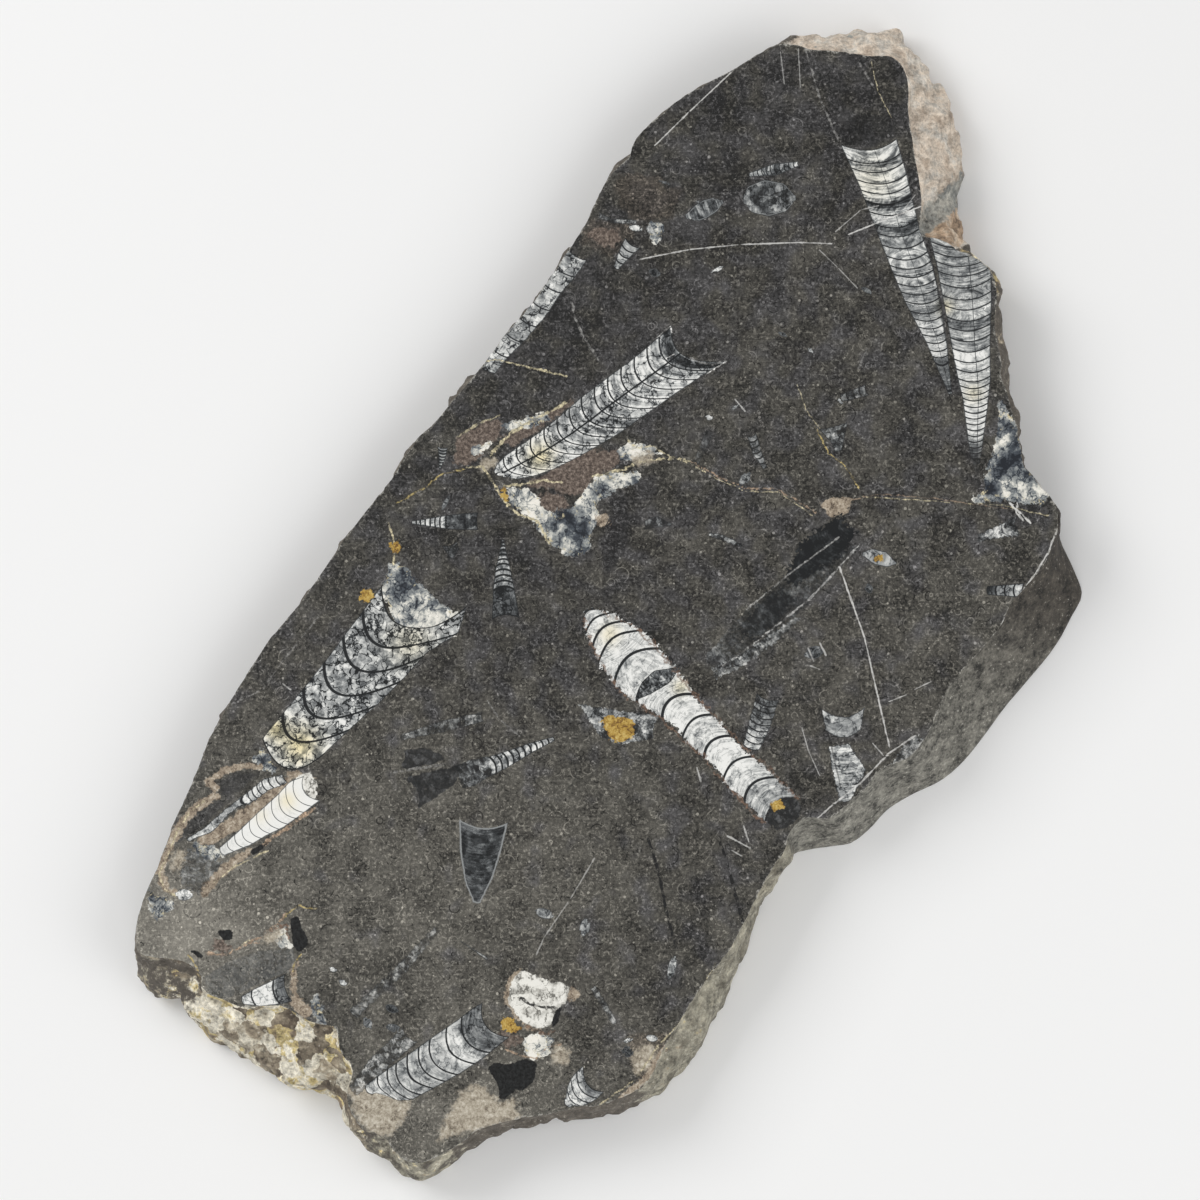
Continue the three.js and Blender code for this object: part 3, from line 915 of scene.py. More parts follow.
def outline_distance(polygon, xy):
    """Distance to an outline's nearest side, less than 0 where a ray crosses it an odd number of times."""
    a = on_face(polygon)
    b = np.roll(a, -1, axis=0)
    side = b - a
    away = xy[:, None] - a
    share = np.clip((away * side).sum(-1) / (side * side).sum(-1), 0, 1)
    distance = np.linalg.norm(away - share[..., None] * side, axis=-1).min(axis=1)
    spans = (a[:, 1] > xy[:, None, 1]) != (b[:, 1] > xy[:, None, 1])
    rise = np.where(side[:, 1] == 0, 1, side[:, 1])
    cross = a[:, 0] + (xy[:, None, 1] - a[:, 1]) / rise * side[:, 0] > xy[:, None, 0]
    inside = (spans & cross).sum(axis=1) % 2 == 1
    return np.where(inside, -distance, distance)


face_xy = face_places[:, :2]
for kind, polygons in PATCHES.items():
    nearest = np.min([outline_distance(polygon, face_xy) for polygon in polygons], axis=0)
    store(f"patch_{kind}", "POINT", np.minimum(nearest, FAR_AWAY))
    print(f"{kind}: {len(polygons)} patches, {np.mean(nearest < 0):.1%} of the face points")

# %% [markdown]
# ## Veins, cracks and scratches
# These are thin lines, so they get the shells' treatment: each cell knows its nearest piece of line, and
# its corners carry the distance along and across it. Veins were cracks that filled with calcite and iron.
# Scratches came later, in handling, and cross everything, so they lie on a layer of their own.

# %% Veins and cracks
CREAM, OCHRE = (0.52, 0.46, 0.30), (0.42, 0.33, 0.13)
TAN, RUST = (0.36, 0.26, 0.18), (0.15, 0.09, 0.06)
WHITE, GREY, BLACK = (0.72, 0.71, 0.68), (0.22, 0.215, 0.205), (0.010, 0.010, 0.010)
VEINS = [  # colour, width in pixels, strength, wobble in mm, points
    (CREAM, 1.7, 0.85, 0.5, [(388, 520), (394, 540), (393, 562)]),
    (OCHRE, 1.6, 0.8, 0.6, [(395, 500), (425, 484), (439, 472), (464, 465)]),
    (CREAM, 2.5, 0.9, 0.7, [(464, 465), (482, 464), (489, 474), (497, 487), (506, 501), (520, 514),
     (537, 519), (551, 545)]),
    (CREAM, 1.9, 0.7, 0.6, [(457, 433), (478, 420), (500, 412)]),
    (CREAM, 3.6, 0.85, 1.0, [(490, 452), (505, 435), (520, 424), (549, 410), (566, 401)]),
    (CREAM, 2.2, 0.8, 0.7, [(504, 484), (526, 482), (542, 479), (562, 481)]),
    (CREAM, 2.4, 0.85, 0.9, [(592, 476), (604, 474), (623, 468), (642, 461), (671, 458), (690, 462)]),
    (CREAM, 1.9, 0.7, 0.8, [(628, 440), (637, 447), (652, 446), (668, 456)]),
    (TAN, 1.7, 0.75, 0.8, [(690, 462), (715, 476), (745, 490), (775, 491), (800, 505), (815, 515)]),
    (CREAM, 1.1, 0.8, 0.6, [(690, 464), (715, 479), (745, 493), (778, 494), (812, 518)]),
    (TAN, 1.1, 0.5, 0.6, [(850, 503), (875, 498), (905, 500), (940, 504), (975, 510), (1005, 514)]),
    (CREAM, 1.1, 0.7, 0.4, [(860, 500), (900, 503), (950, 507), (1000, 511), (1045, 522)]),
    (CREAM, 1.9, 0.85, 0.7, [(478, 357), (500, 356), (520, 362), (545, 368), (566, 374)]),
    (GREY, 2.0, 0.8, 0.3, [(571, 290), (574, 312), (584, 335), (600, 360)]),
    (GREY, 2.0, 0.7, 0.3, [(806, 40), (823, 100), (840, 138)]),
    (CREAM, 0.8, 0.75, 0.4, [(873, 58), (880, 90), (894, 118)]),
    (GREY, 1.7, 0.6, 0.3, [(862, 60), (876, 86)]),
    (CREAM, 1.4, 0.8, 0.5, [(214, 879), (236, 862), (252, 855), (270, 846)]),
    (CREAM, 1.7, 0.8, 0.6, [(205, 796), (190, 808), (178, 826), (170, 846), (160, 868), (164, 884),
     (176, 891)]),
    (CREAM, 1.6, 0.8, 0.5, [(714, 960), (688, 1011), (658, 1040), (635, 1074), (599, 1099)]),
    (TAN, 3.6, 0.9, 0.9, [(262, 842), (285, 826), (302, 814), (315, 806)]),
    (RUST, 2.6, 0.7, 1.8, [(600, 611), (632, 625), (659, 651), (685, 684), (706, 708), (739, 745),
     (769, 772), (796, 800)]),
    (RUST, 2.6, 0.7, 1.8, [(583, 618), (594, 650), (618, 690), (658, 718), (698, 754), (737, 798),
     (762, 824)]),
    (OCHRE, 1.9, 0.8, 0.7, [(318, 905), (300, 902), (290, 908), (284, 916)]),
    (TAN, 1.6, 0.75, 0.6, [(236, 946), (249, 938), (262, 938)]),
    (CREAM, 1.2, 0.8, 0.5, [(240, 942), (250, 936), (260, 938)]),
    (RUST, 3.4, 0.8, 0.8, [(264, 930), (276, 924), (288, 921), (291, 934)]),
    (OCHRE, 1.6, 0.8, 0.5, [(303, 950), (298, 956), (294, 968)]),
    (OCHRE, 2.0, 0.8, 0.7, [(190, 950), (196, 958), (200, 966)]),
    (TAN, 1.6, 0.8, 0.5, [(506, 1044), (520, 1050), (536, 1054), (548, 1042), (562, 1040)]),
    (BLACK, 2.6, 0.95, 0.1, [(522, 994), (530, 1000), (542, 1003), (557, 1004)]),
    (RUST, 3.0, 0.8, 0.6, [(528, 1022), (545, 1030), (556, 1026)]),
    (TAN, 2.4, 0.9, 0.9, [(208, 948), (230, 950), (236, 944), (249, 939), (266, 931), (272, 925), (282, 918),
     (289, 908)]),
    (BLACK, 2.0, 0.8, 0.2, [(669, 534), (666, 543), (655, 547)]),
    (BLACK, 1.5, 0.6, 0.2, [(814, 694), (828, 745), (838, 790)]),
    (OCHRE, 1.4, 0.8, 0.6, [(815, 430), (828, 455), (845, 470), (858, 492)]),
    (CREAM, 0.8, 0.6, 0.5, [(797, 386), (806, 412), (819, 431)]),
    (GREY, 1.5, 0.6, 0.3, [(867, 350), (858, 372)]),
    (BLACK, 3.0, 1.0, 0.1, [(648, 838), (658, 872), (668, 920), (675, 946)]),
    (BLACK, 3.0, 1.0, 0.1, [(718, 838), (728, 872), (742, 926)]),
    (BLACK, 1.4, 0.5, 0.2, [(428, 950), (448, 980)]),
    (GREY, 1.5, 0.6, 0.3, [(488, 700), (500, 718), (520, 735)]),
    (GREY, 1.5, 0.5, 0.3, [(230, 700), (262, 686), (280, 660), (320, 610)]),
    (GREY, 2.4, 0.7, 0.2, [(395, 770), (420, 766), (447, 762)]),
    (WHITE, 1.8, 0.4, 0.3, [(722, 668), (760, 640), (808, 602), (836, 572), (858, 548)]),
    (WHITE, 1.5, 0.3, 0.3, [(838, 540), (790, 575), (745, 612)]),
    (BLACK, 1.6, 0.8, 0.1, [(929, 243), (937, 290), (945, 345)]),
    (GREY, 2.0, 0.8, 0.2, [(690, 357), (700, 362), (712, 364), (727, 361)]),
    (WHITE, 1.3, 0.9, 0.1, [(727, 361), (716, 368), (706, 374)]),
    (WHITE, 1.3, 0.9, 0.1, [(657, 337), (664, 330), (671, 325), (672, 332)]),
    (WHITE, 1.3, 0.9, 0.1, [(667, 357), (675, 353)]),
    (BLACK, 3.2, 0.9, 0.1, [(646, 386), (660, 375), (682, 359)]),
]
ROUND_SHELLS = [  # x, y and radius in pixels of small round shells cut across
    (337, 888, 11.5), (194, 905, 9), (894, 125, 4), (905, 595, 22), (740, 492, 6), (700, 1010, 6),
    (510, 905, 5), (478, 838, 4), (870, 655, 5), (518, 912, 34), (555, 772, 22),
]
RING_LOOK = (BLACK, 1.6, 0.55, 0.4)  # as for a vein
RING_TURNS = np.linspace(0, 2 * np.pi, 13)
RING_SQUASH = 0.9


def ring_line(x, y, radius):
    """A closed dark line about a place: a slightly squashed circle."""
    across, down = radius * np.cos(RING_TURNS), RING_SQUASH * radius * np.sin(RING_TURNS)
    return (*RING_LOOK, np.stack((x + across, y + down), -1))


VEINS += [ring_line(*row) for row in ROUND_SHELLS]
print(len(VEINS), "veins, cracks and rings")

# %% [markdown]
# Scratches are straighter and all of one colour, so their rows are shorter.

# %% Scratches
SCRATCH_WOBBLE = 0.05  # mm
SCRATCHES = [  # strength, width in pixels, points
    (0.8, 1.1, [(654, 141), (690, 106), (735, 64)]),
    (0.75, 1.2, [(640, 256), (690, 247), (740, 243), (800, 242), (833, 244)]),
    (0.9, 1.3, [(849, 235), (890, 219), (930, 205)]),
    (0.8, 1.6, [(838, 570), (850, 605), (862, 640)]),
    (0.8, 1.4, [(862, 640), (875, 700), (886, 750)]),
    (0.6, 1.2, [(868, 744), (880, 758)]),
    (0.7, 1.1, [(885, 705), (903, 698)]),
    (0.7, 1.1, [(911, 693), (928, 685)]),
    (0.9, 2.0, [(1007, 509), (1018, 520), (1027, 529)]),
    (0.8, 2.2, [(1014, 508), (1013, 518), (1020, 526)]),
    (0.5, 1.0, [(800, 730), (806, 752), (817, 777)]),
    (0.6, 1.6, [(818, 646), (824, 658)]),
    (0.5, 1.4, [(806, 650), (812, 664)]),
    (0.5, 1.2, [(808, 668), (818, 672)]),
    (0.6, 1.6, [(726, 836), (748, 848)]),
    (0.6, 1.4, [(742, 826), (747, 842)]),
    (0.5, 1.2, [(730, 850), (740, 856)]),
    (0.6, 1.6, [(696, 768), (700, 782)]),
    (0.45, 0.9, [(820, 250), (838, 268), (858, 290)]),
    (0.5, 0.9, [(836, 232), (862, 210), (880, 206)]),
    (0.4, 0.9, [(782, 45), (786, 80)]),
    (0.4, 0.9, [(800, 42), (802, 84)]),
    (0.45, 0.9, [(905, 210), (916, 196)]),
    (0.6, 1.4, [(735, 400), (745, 412)]),
    (0.6, 1.2, [(282, 680), (290, 686)]),
    (0.4, 1.2, [(595, 856), (570, 898), (545, 934), (537, 952)]),
    (0.8, 1.5, [(1059, 530), (1050, 542), (1044, 558), (1033, 576), (1021, 593), (1006, 614), (996, 632)]),
    (0.7, 1.6, [(800, 832), (830, 806), (858, 784), (885, 756), (912, 738)]),
]
print(len(SCRATCHES), "scratches")

# %% [markdown]
# Both sorts of lines are cut into straight pieces. A cell takes the piece nearest to its middle.


# %% Line coordinates
def line_pieces(rows):
    """All lines cut into straight pieces: start, end, distance gone before it, half width and its row."""
    pieces = []
    for number, (width, points) in enumerate(rows):
        path = on_face(points)
        gone = 0.0
        for start, end in zip(path[:-1], path[1:]):
            pieces.append((*start, *end, gone, width / PIXELS_PER_MM / 2, number))
            gone += np.linalg.norm(end - start)
    return np.array(pieces)


def write_line_layer(name, rows, looks, colours):
    """Gives each cell its nearest piece of line and writes the distance along and across it."""
    pieces = line_pieces(rows)
    start, end = pieces[:, 0:2], pieces[:, 2:4]
    length = np.linalg.norm(end - start, axis=1)
    along = (end - start) / length[:, None]
    gaps = []
    for a, way, long in zip(start, along, length):
        u = (middle_xy - a) @ way
        beyond = np.maximum(np.maximum(-u, u - long), 0)
        gaps.append(np.hypot((middle_xy - a) @ (-way[1], way[0]), beyond))
    owner = np.argmin(gaps, axis=0)
    at = np.repeat(owner, 4)
    away = corner_xy - start[at]
    u = (away * along[at]).sum(-1)
    v = away[:, 1] * along[at][:, 0] - away[:, 0] * along[at][:, 1]
    over = np.maximum(np.maximum(-u, u - length[at]), 0)
    store(f"{name}_place", "CORNER", np.stack((u + pieces[at, 4], v, over), -1))
    row = pieces[owner, 6].astype(int)
    store(f"{name}_look", "FACE", np.column_stack((pieces[owner, 5], np.array(looks)[row])))
    store(f"{name}_colour", "FACE", np.array(colours)[row])
    print(f"{name}: {len(rows)} lines in {len(pieces)} pieces")


write_line_layer(
    "vein",
    [(width, points) for _, width, _, _, points in VEINS],
    [(strength, wobble) for _, _, strength, wobble, _ in VEINS],
    [colour for colour, *_ in VEINS],
)
write_line_layer(
    "scratch",
    [(width, points) for _, width, points in SCRATCHES],
    [(strength, SCRATCH_WOBBLE) for strength, _, _ in SCRATCHES],
    [WHITE] * len(SCRATCHES),
)

# %% [markdown]
# ## How light the stone is
# The limestone isn't one grey. It is nearly black at the upper end and paler towards the lower left, partly
# its own tone and partly a painted sheen of the polish. A few soft blobs, added together, say how much
# lighter or darker each place is, painted sheen included.
# More blobs say where iron stained the shells yellow and how pale the crystals are.

# %% Tone and painted sheen of the face
# Pale blobs, strongest at the lower left, paint the sheen of the polish with the stone's own tone; dark ones
# are its tone.
TONES_AND_SHEEN = [  # x, y, radius in pixels, change in lightness
    (860, 90, 70, -0.35), (715, 130, 60, -0.3), (600, 230, 90, -0.1), (560, 320, 110, -0.3),
    (470, 420, 110, -0.1), (550, 590, 110, -0.15), (170, 935, 90, 3.0), (230, 900, 45, 0.5),
    (330, 880, 170, 0.55), (440, 870, 150, 0.35), (520, 950, 150, 0.3), (620, 840, 140, 0.3),
    (760, 700, 150, 0.15), (940, 640, 110, 0.4), (640, 950, 90, -0.15), (400, 1130, 70, 1.2),
    (560, 1100, 70, 0.6), (830, 420, 130, 0.08), (250, 700, 70, 0.2), (690, 800, 40, -0.2),
    (650, 1040, 40, 0.5), (490, 1110, 60, 0.6), (440, 1040, 60, 0.3),
]
STAINS = [  # x, y, radius in pixels, how yellow
    (300, 742, 20, 1.0), (275, 725, 12, 0.9), (540, 455, 14, 0.9), (288, 797, 9, 0.6), (262, 812, 8, 0.3),
    (410, 640, 22, 0.45), (972, 398, 9, 0.5), (610, 634, 10, 0.6), (680, 688, 8, 0.6), (945, 310, 8, 0.7),
    (535, 985, 22, 0.35), (872, 180, 24, 0.3),
]
GLINTS = [  # x, y, radius in pixels, how much paler the crystals are
    (583, 525, 20, -0.16), (560, 540, 14, -0.08), (528, 494, 18, 0.14), (550, 520, 14, 0.06),
    (618, 478, 22, 0.05), (640, 446, 18, 0.12), (405, 588, 16, -0.08), (445, 618, 16, 0.14),
    (1012, 470, 40, -0.13), (540, 1042, 20, 0.12), (158, 898, 16, -0.12),
]


def soft_blobs(rows):
    """Sum of bell-shaped blobs: each falls off with the square of the distance from its middle."""
    total = np.zeros(len(face_xy))
    for x, y, radius, amount in rows:
        away = np.linalg.norm(face_xy - on_face((x, y)), axis=1) * PIXELS_PER_MM / radius
        total += amount * np.exp(-away * away)
    return total


for name, rows in dict(shade=TONES_AND_SHEEN, stain=STAINS, glint=GLINTS).items():
    blobs = soft_blobs(rows)
    store(name, "POINT", blobs)
    print(f"{name} from {blobs.min():.2f} to {blobs.max():.2f}")

# %% [markdown]
# Round the edge a short table gives, for each bearing, which kinds of surface show there. Between two rows
# the shares run straight from one to the other.

# %% Kinds of edge
SAWN_DARK = [(-40, 0.0), (-16, 0.25), (-4, 0.8), (9, 1.0)]  # bearing, how dark the sawn stretch is
EDGE_SURFACES = ("rind", "cream", "olive", "sawn", "grey", "clay")
EDGE_KINDS = [  # bearing in degrees, then the shares of these surfaces
    (-57, 0, 0, 1.0, 0.0, 0, 0),
    (-52, 0, 0, 0.4, 1.0, 0, 0),
    (9, 0, 0, 0, 1.0, 0, 0),
    (13, 0, 0.1, 0, 0, 0, 0),
    (30, 0, 0.3, 0, 0, 0, 0),
    (43, 0.2, 0.5, 0, 0, 0, 0.2),
    (44.7, 1, 0.1, 0, 0, 0, 0.6),
    (46, 1, 0, 0, 0, 0, 1.0),
    (47.3, 1, 0, 0, 0, 0.5, 0.5),
    (48.5, 1, 0, 0, 0, 1.0, 0),
    (49.7, 1, 0, 0, 0, 0.5, 0),
    (51.5, 1, 0, 0, 0, 0, 0),
    (61, 1, 0, 0, 0, 0, 0),
    (66, 1, 0, 0, 0, 0.35, 0),
    (68, 1, 0, 0, 0, 0.35, 0),
    (72, 0.3, 0, 0, 0, 0, 0),
    (76, 0, 0, 0, 0, 0, 0),
    (214, 0, 0, 0, 0, 0, 0),
    (217, 0, 0.3, 0.4, 0, 0, 0),
    (224, 0, 0.45, 0.4, 0, 0, 0),
    (228, 0, 1.0, 0.1, 0, 0, 0),
    (243, 0, 1.0, 0.1, 0, 0, 0),
    (247, 0.2, 0.4, 0.5, 0, 0, 0),
    (254, 0.2, 0.3, 0.6, 0, 0, 0),
    (257, 0, 0.1, 0.2, 0, 0, 0),
    (272, 0, 0.1, 0.2, 0, 0, 0),
    (277, 0, 0.35, 0.8, 0, 0, 0),
    (303, 0, 0, 1.0, 0, 0, 0),
]
rim_gap = (1 - reach.ravel()) * rim_radius(grid_bearing).ravel()
store("rim_gap", "POINT", np.concatenate((rim_gap, np.zeros(len(slab_places) - len(rim_gap)))))
kinds = np.array(EDGE_KINDS, float)
slab_bearing = np.degrees(np.arctan2(slab_places[:, 1], slab_places[:, 0]))
for column, kind in enumerate(EDGE_SURFACES, start=1):
    store(f"edge_{kind}", "POINT", np.interp(slab_bearing, kinds[:, 0], kinds[:, column], period=360))
store("edge_dark", "POINT", np.interp(slab_bearing, *np.array(SAWN_DARK).T))
print("surfaces of the edge:", ", ".join(EDGE_SURFACES))

# %% [markdown]
# ## Writing finishes as steps
# A node tree reads better as a list of steps than as a tangle of links. `Net` stands for a net of nodes:
# it adds a node, feeds its sockets with numbers or with other nodes, and hands back what it puts out.

# %% Net of nodes
SOFT = 0.12  # mm over which a line's border blends


def chain(operation):
    """A step of arithmetic that takes any number of values, one after the other."""
    return lambda net, *values: functools.reduce(lambda a, b: net.math(operation, a, b), values)


class Net:
    """Short hand for placing and linking the nodes of one tree. A flat one has noise in x and y alone."""

    def __init__(self, tree, flat=False):
        self.tree = tree
        self.dimensions = "2D" if flat else "3D"

    def feed(self, socket, value):
        """Links a socket to another one, or sets its value."""
        if isinstance(value, bpy.types.NodeSocket):
            self.tree.links.new(value, socket)
        elif socket.type == "VECTOR":
            socket.default_value = value[:3]
        else:
            socket.default_value = value

    def add(self, kind, inputs=None, **settings):
        """A node of one kind, with its settings and its inputs."""
        node = self.tree.nodes.new("ShaderNode" + kind)
        for name, value in settings.items():
            setattr(node, name, value)
        for name, value in (inputs or {}).items():
            self.feed(node.inputs[name], value)
        return node

    def math(self, operation, a, b=0.0):
        """One step of arithmetic."""
        return self.add("Math", {0: a, 1: b}, operation=operation).outputs[0]

    product, largest, smallest = map(chain, ("MULTIPLY", "MAXIMUM", "MINIMUM"))

    def plus(self, value, *factors):
        """A value plus the product of the factors."""
        return self.math("ADD", value, self.product(*factors))

    def less(self, value, *factors):
        """A value less the product of the factors."""
        return self.math("SUBTRACT", value, self.product(*factors))

    def gap(self, a, b):
        """How far apart two values are."""
        return self.math("ABSOLUTE", self.less(a, b))

    def fade(self, value, low, high):
        """0 below low, 1 above high, eased between; the other way round if low is the larger."""
        inputs = {"Value": value, "From Min": low, "From Max": high}
        return self.add("MapRange", inputs, interpolation_type="SMOOTHSTEP").outputs[0]

    def band(self, distance, half):
        """1 within half a width of a line and 0 outside, with a soft border."""
        return self.fade(self.less(distance, half), SOFT, -SOFT)

    def mix(self, share, a, b):
        """Two colours mixed by a share."""
        return self.add("Mix", {0: share, 6: a, 7: b}, data_type="RGBA").outputs[2]

    def tint(self, colour, value):
        """A colour or vector multiplied by a number."""
        return self.add("VectorMath", {0: colour, "Scale": value}, operation="SCALE").outputs[0]

    def combine(self, operation, a, b):
        """One step of arithmetic on two vectors."""
        return self.add("VectorMath", {0: a, 1: b}, operation=operation).outputs[0]

    def join(self, x, y, z):
        """A vector from three numbers."""
        return self.add("CombineXYZ", {0: x, 1: y, 2: z}).outputs[0]

    def parts(self, vector):
        """The three numbers of a vector."""
        return self.add("SeparateXYZ", {0: vector}).outputs

    def noise(self, where, size, detail, roughness=0.55, out="Fac"):
        """Cloudy noise about 0.5, with features of the size given in mm; Color is three at once."""
        inputs = {"Vector": where, "Scale": 1 / size, "Detail": detail, "Roughness": roughness}
        return self.add("TexNoise", inputs, noise_dimensions=self.dimensions).outputs[out]

    def signed(self, noise):
        """Noise about 0.5 to noise from about -1 to 1."""
        return self.product(self.less(noise, 0.5), 2.0)

    def stretched(self, where, **mapping):
        """Places turned, shifted and stretched, for noise with a direction."""
        inputs = {name.title(): value for name, value in mapping.items()}
        return self.add("Mapping", {"Vector": where, **inputs}).outputs[0]

    def cells(self, where, size):
        """Cells about as wide as the size given in mm."""
        inputs = {"Vector": where, "Scale": 1 / size}
        return self.add("TexVoronoi", inputs, voronoi_dimensions=self.dimensions).outputs

    def number(self, name):
        """A number that the mesh carries."""
        return self.add("Attribute", attribute_name=name).outputs["Fac"]

    def vector(self, name):
        """Three numbers that the mesh carries."""
        return self.add("Attribute", attribute_name=name).outputs["Vector"]

    def ramp(self, value, stops):
        """A colour for each value, straight between the stops."""
        node = self.add("ValToRGB", {0: value})
        elements = node.color_ramp.elements
        elements[0].position = stops[0][0]
        elements[1].position = stops[-1][0]
        for place, _ in stops[1:-1]:
            elements.new(place)
        for element, (_, colour) in zip(elements, stops):
            element.color = (*colour[:3], 1.0)
        return node.outputs[0]


print("a net has", sum(callable(step) for step in vars(Net).values()), "steps")

# %% [markdown]
# Effects used more than once become node groups with named sockets. Colours are easiest to choose as a
# screen shows them, so `srgb` turns such a colour into the linear light of shaders.


# %% Groups and colours
def group_net(name, inputs, outputs, flat=False):
    """An empty node group with named sockets: its net, its inputs and its outputs."""
    tree = bpy.data.node_groups.new(name, "ShaderNodeTree")
    for direction, sockets in (("INPUT", inputs), ("OUTPUT", outputs)):
        for label, kind in sockets.items():
            tree.interface.new_socket(label, in_out=direction, socket_type="NodeSocket" + kind)
    given = tree.nodes.new("NodeGroupInput").outputs
    out = tree.nodes.new("NodeGroupOutput").inputs
    return Net(tree, flat), given, out


def srgb(red, green, blue):
    """A colour as read from a screen, 0 to 255, to linear light by the curve that screens share."""
    value = np.array((red, green, blue)) / 255
    linear = np.where(value <= 0.04045, value / 12.92, ((value + 0.055) / 1.055) ** 2.4)
    return (*linear.tolist(), 1.0)


def stops(*rows):
    """Stops of a ramp from rows of place, red, green and blue."""
    return [(place, srgb(*colour)) for place, *colour in rows]


print("mid grey in linear light:", round(srgb(128, 128, 128)[0], 3))

# %% [markdown]
# ## Limestone
# The stone itself is a fine mud with grains, thread-like cuts of tiny shells, and crumbs. Clouds, grain,
# threads and specks are added up to one lightness. A picture of stone could do it too, but noise never
# repeats. The polished face and the sawn base both use this group, with their own values.

# %% Limestone group
CLOUD_SIZE, GRAIN_SIZE, THREAD_SIZE, CRUMB_SIZE = 12.0, 1.1, 2.6, 1.5  # mm
PALE_CONTOUR, DARK_CONTOUR, CONTOUR_HALF = 0.58, 0.44, 0.05  # values of the noise that threads follow
DARK_THREADS = 0.6  # their strength beside the pale ones
THREAD_GRAIN = (-0.08, 0.12)  # grain at which threads start and are full
LARGEST_CRUMB, CRUMB_RARITY = 0.34, 8.0  # in cells, and a power that makes most of them small
CRUMB_BORDER = (0.06, -0.04)
CRUMB_DARK = 0.15  # how dark the darkest crumbs are


def limestone_group():
    """Lightness of the stone: 1 plus clouds, grain, threads along two contours of a noise, and specks."""
    net, given, out = group_net(
        "limestone",
        {"Where": "Vector", "Clouds": "Float", "Grain": "Float", "Threads": "Float", "Specks": "Float"},
        {"Light": "Float"},
        flat=True,
    )
    where = given["Where"]
    clouds = net.less(net.noise(where, CLOUD_SIZE, 4.0, 0.72), 0.5)
    grain = net.less(net.noise(where, GRAIN_SIZE, 2.0, 0.75), 0.5)
    curls = net.noise(where, THREAD_SIZE, 2.0, 0.45)
    pale_thread = net.fade(net.gap(curls, PALE_CONTOUR), CONTOUR_HALF, 0.0)
    dark_thread = net.fade(net.gap(curls, DARK_CONTOUR), CONTOUR_HALF, 0.0)
    threads = net.less(pale_thread, dark_thread, DARK_THREADS)
    threads = net.product(threads, net.fade(grain, *THREAD_GRAIN))
    crumbs = net.cells(where, CRUMB_SIZE)
    chance = net.parts(crumbs["Color"])
    size = net.product(net.math("POWER", chance[0], CRUMB_RARITY), LARGEST_CRUMB)
    speck = net.fade(net.less(crumbs["Distance"], size), *CRUMB_BORDER)
    pale_or_dark = net.less(net.math("POWER", chance[1], 2.0), CRUMB_DARK)
    light = net.plus(1.0, clouds, given["Clouds"])
    light = net.plus(light, grain, given["Grain"])
    light = net.plus(light, threads, given["Threads"])
    light = net.plus(light, speck, pale_or_dark, given["Specks"])
    net.feed(out["Light"], light)
    return net.tree


limestone = limestone_group()
print("limestone group:", len(limestone.nodes), "nodes")

# %% [markdown]
# ## Shell filling
# Inside a shell the chambers are filled with calcite, white where it is pure and grey where mud got in.
# The group turns the shell's numbers into a lightness: the filling, less the dark lines of the walls, the
# tube and the outline. Its mask says where the shell is. Each of the two layers uses the group once.

# %% Shell group
SHELL_VECTORS = ("Chambers", "Size", "Filling", "Lines", "Borders", "Look")
LINE_DARKNESS, OUTLINE_SHARE = 0.92, 0.7  # of all dark lines, and how much of it the outline has
MOTTLE_GAIN, STREAK_GAIN, CHAMBER_GAIN = 2.6, 2.4, 0.16  # how far noise changes the lightness
STREAKS_ALONG, STREAKS_ACROSS = 1.5, 0.22  # streaks in a mm along the shell and across it
GLOW_REACH = (1.6, 0.2)  # mm from a wall at which its glow starts and is full
BORDER_LIGHT = 0.56


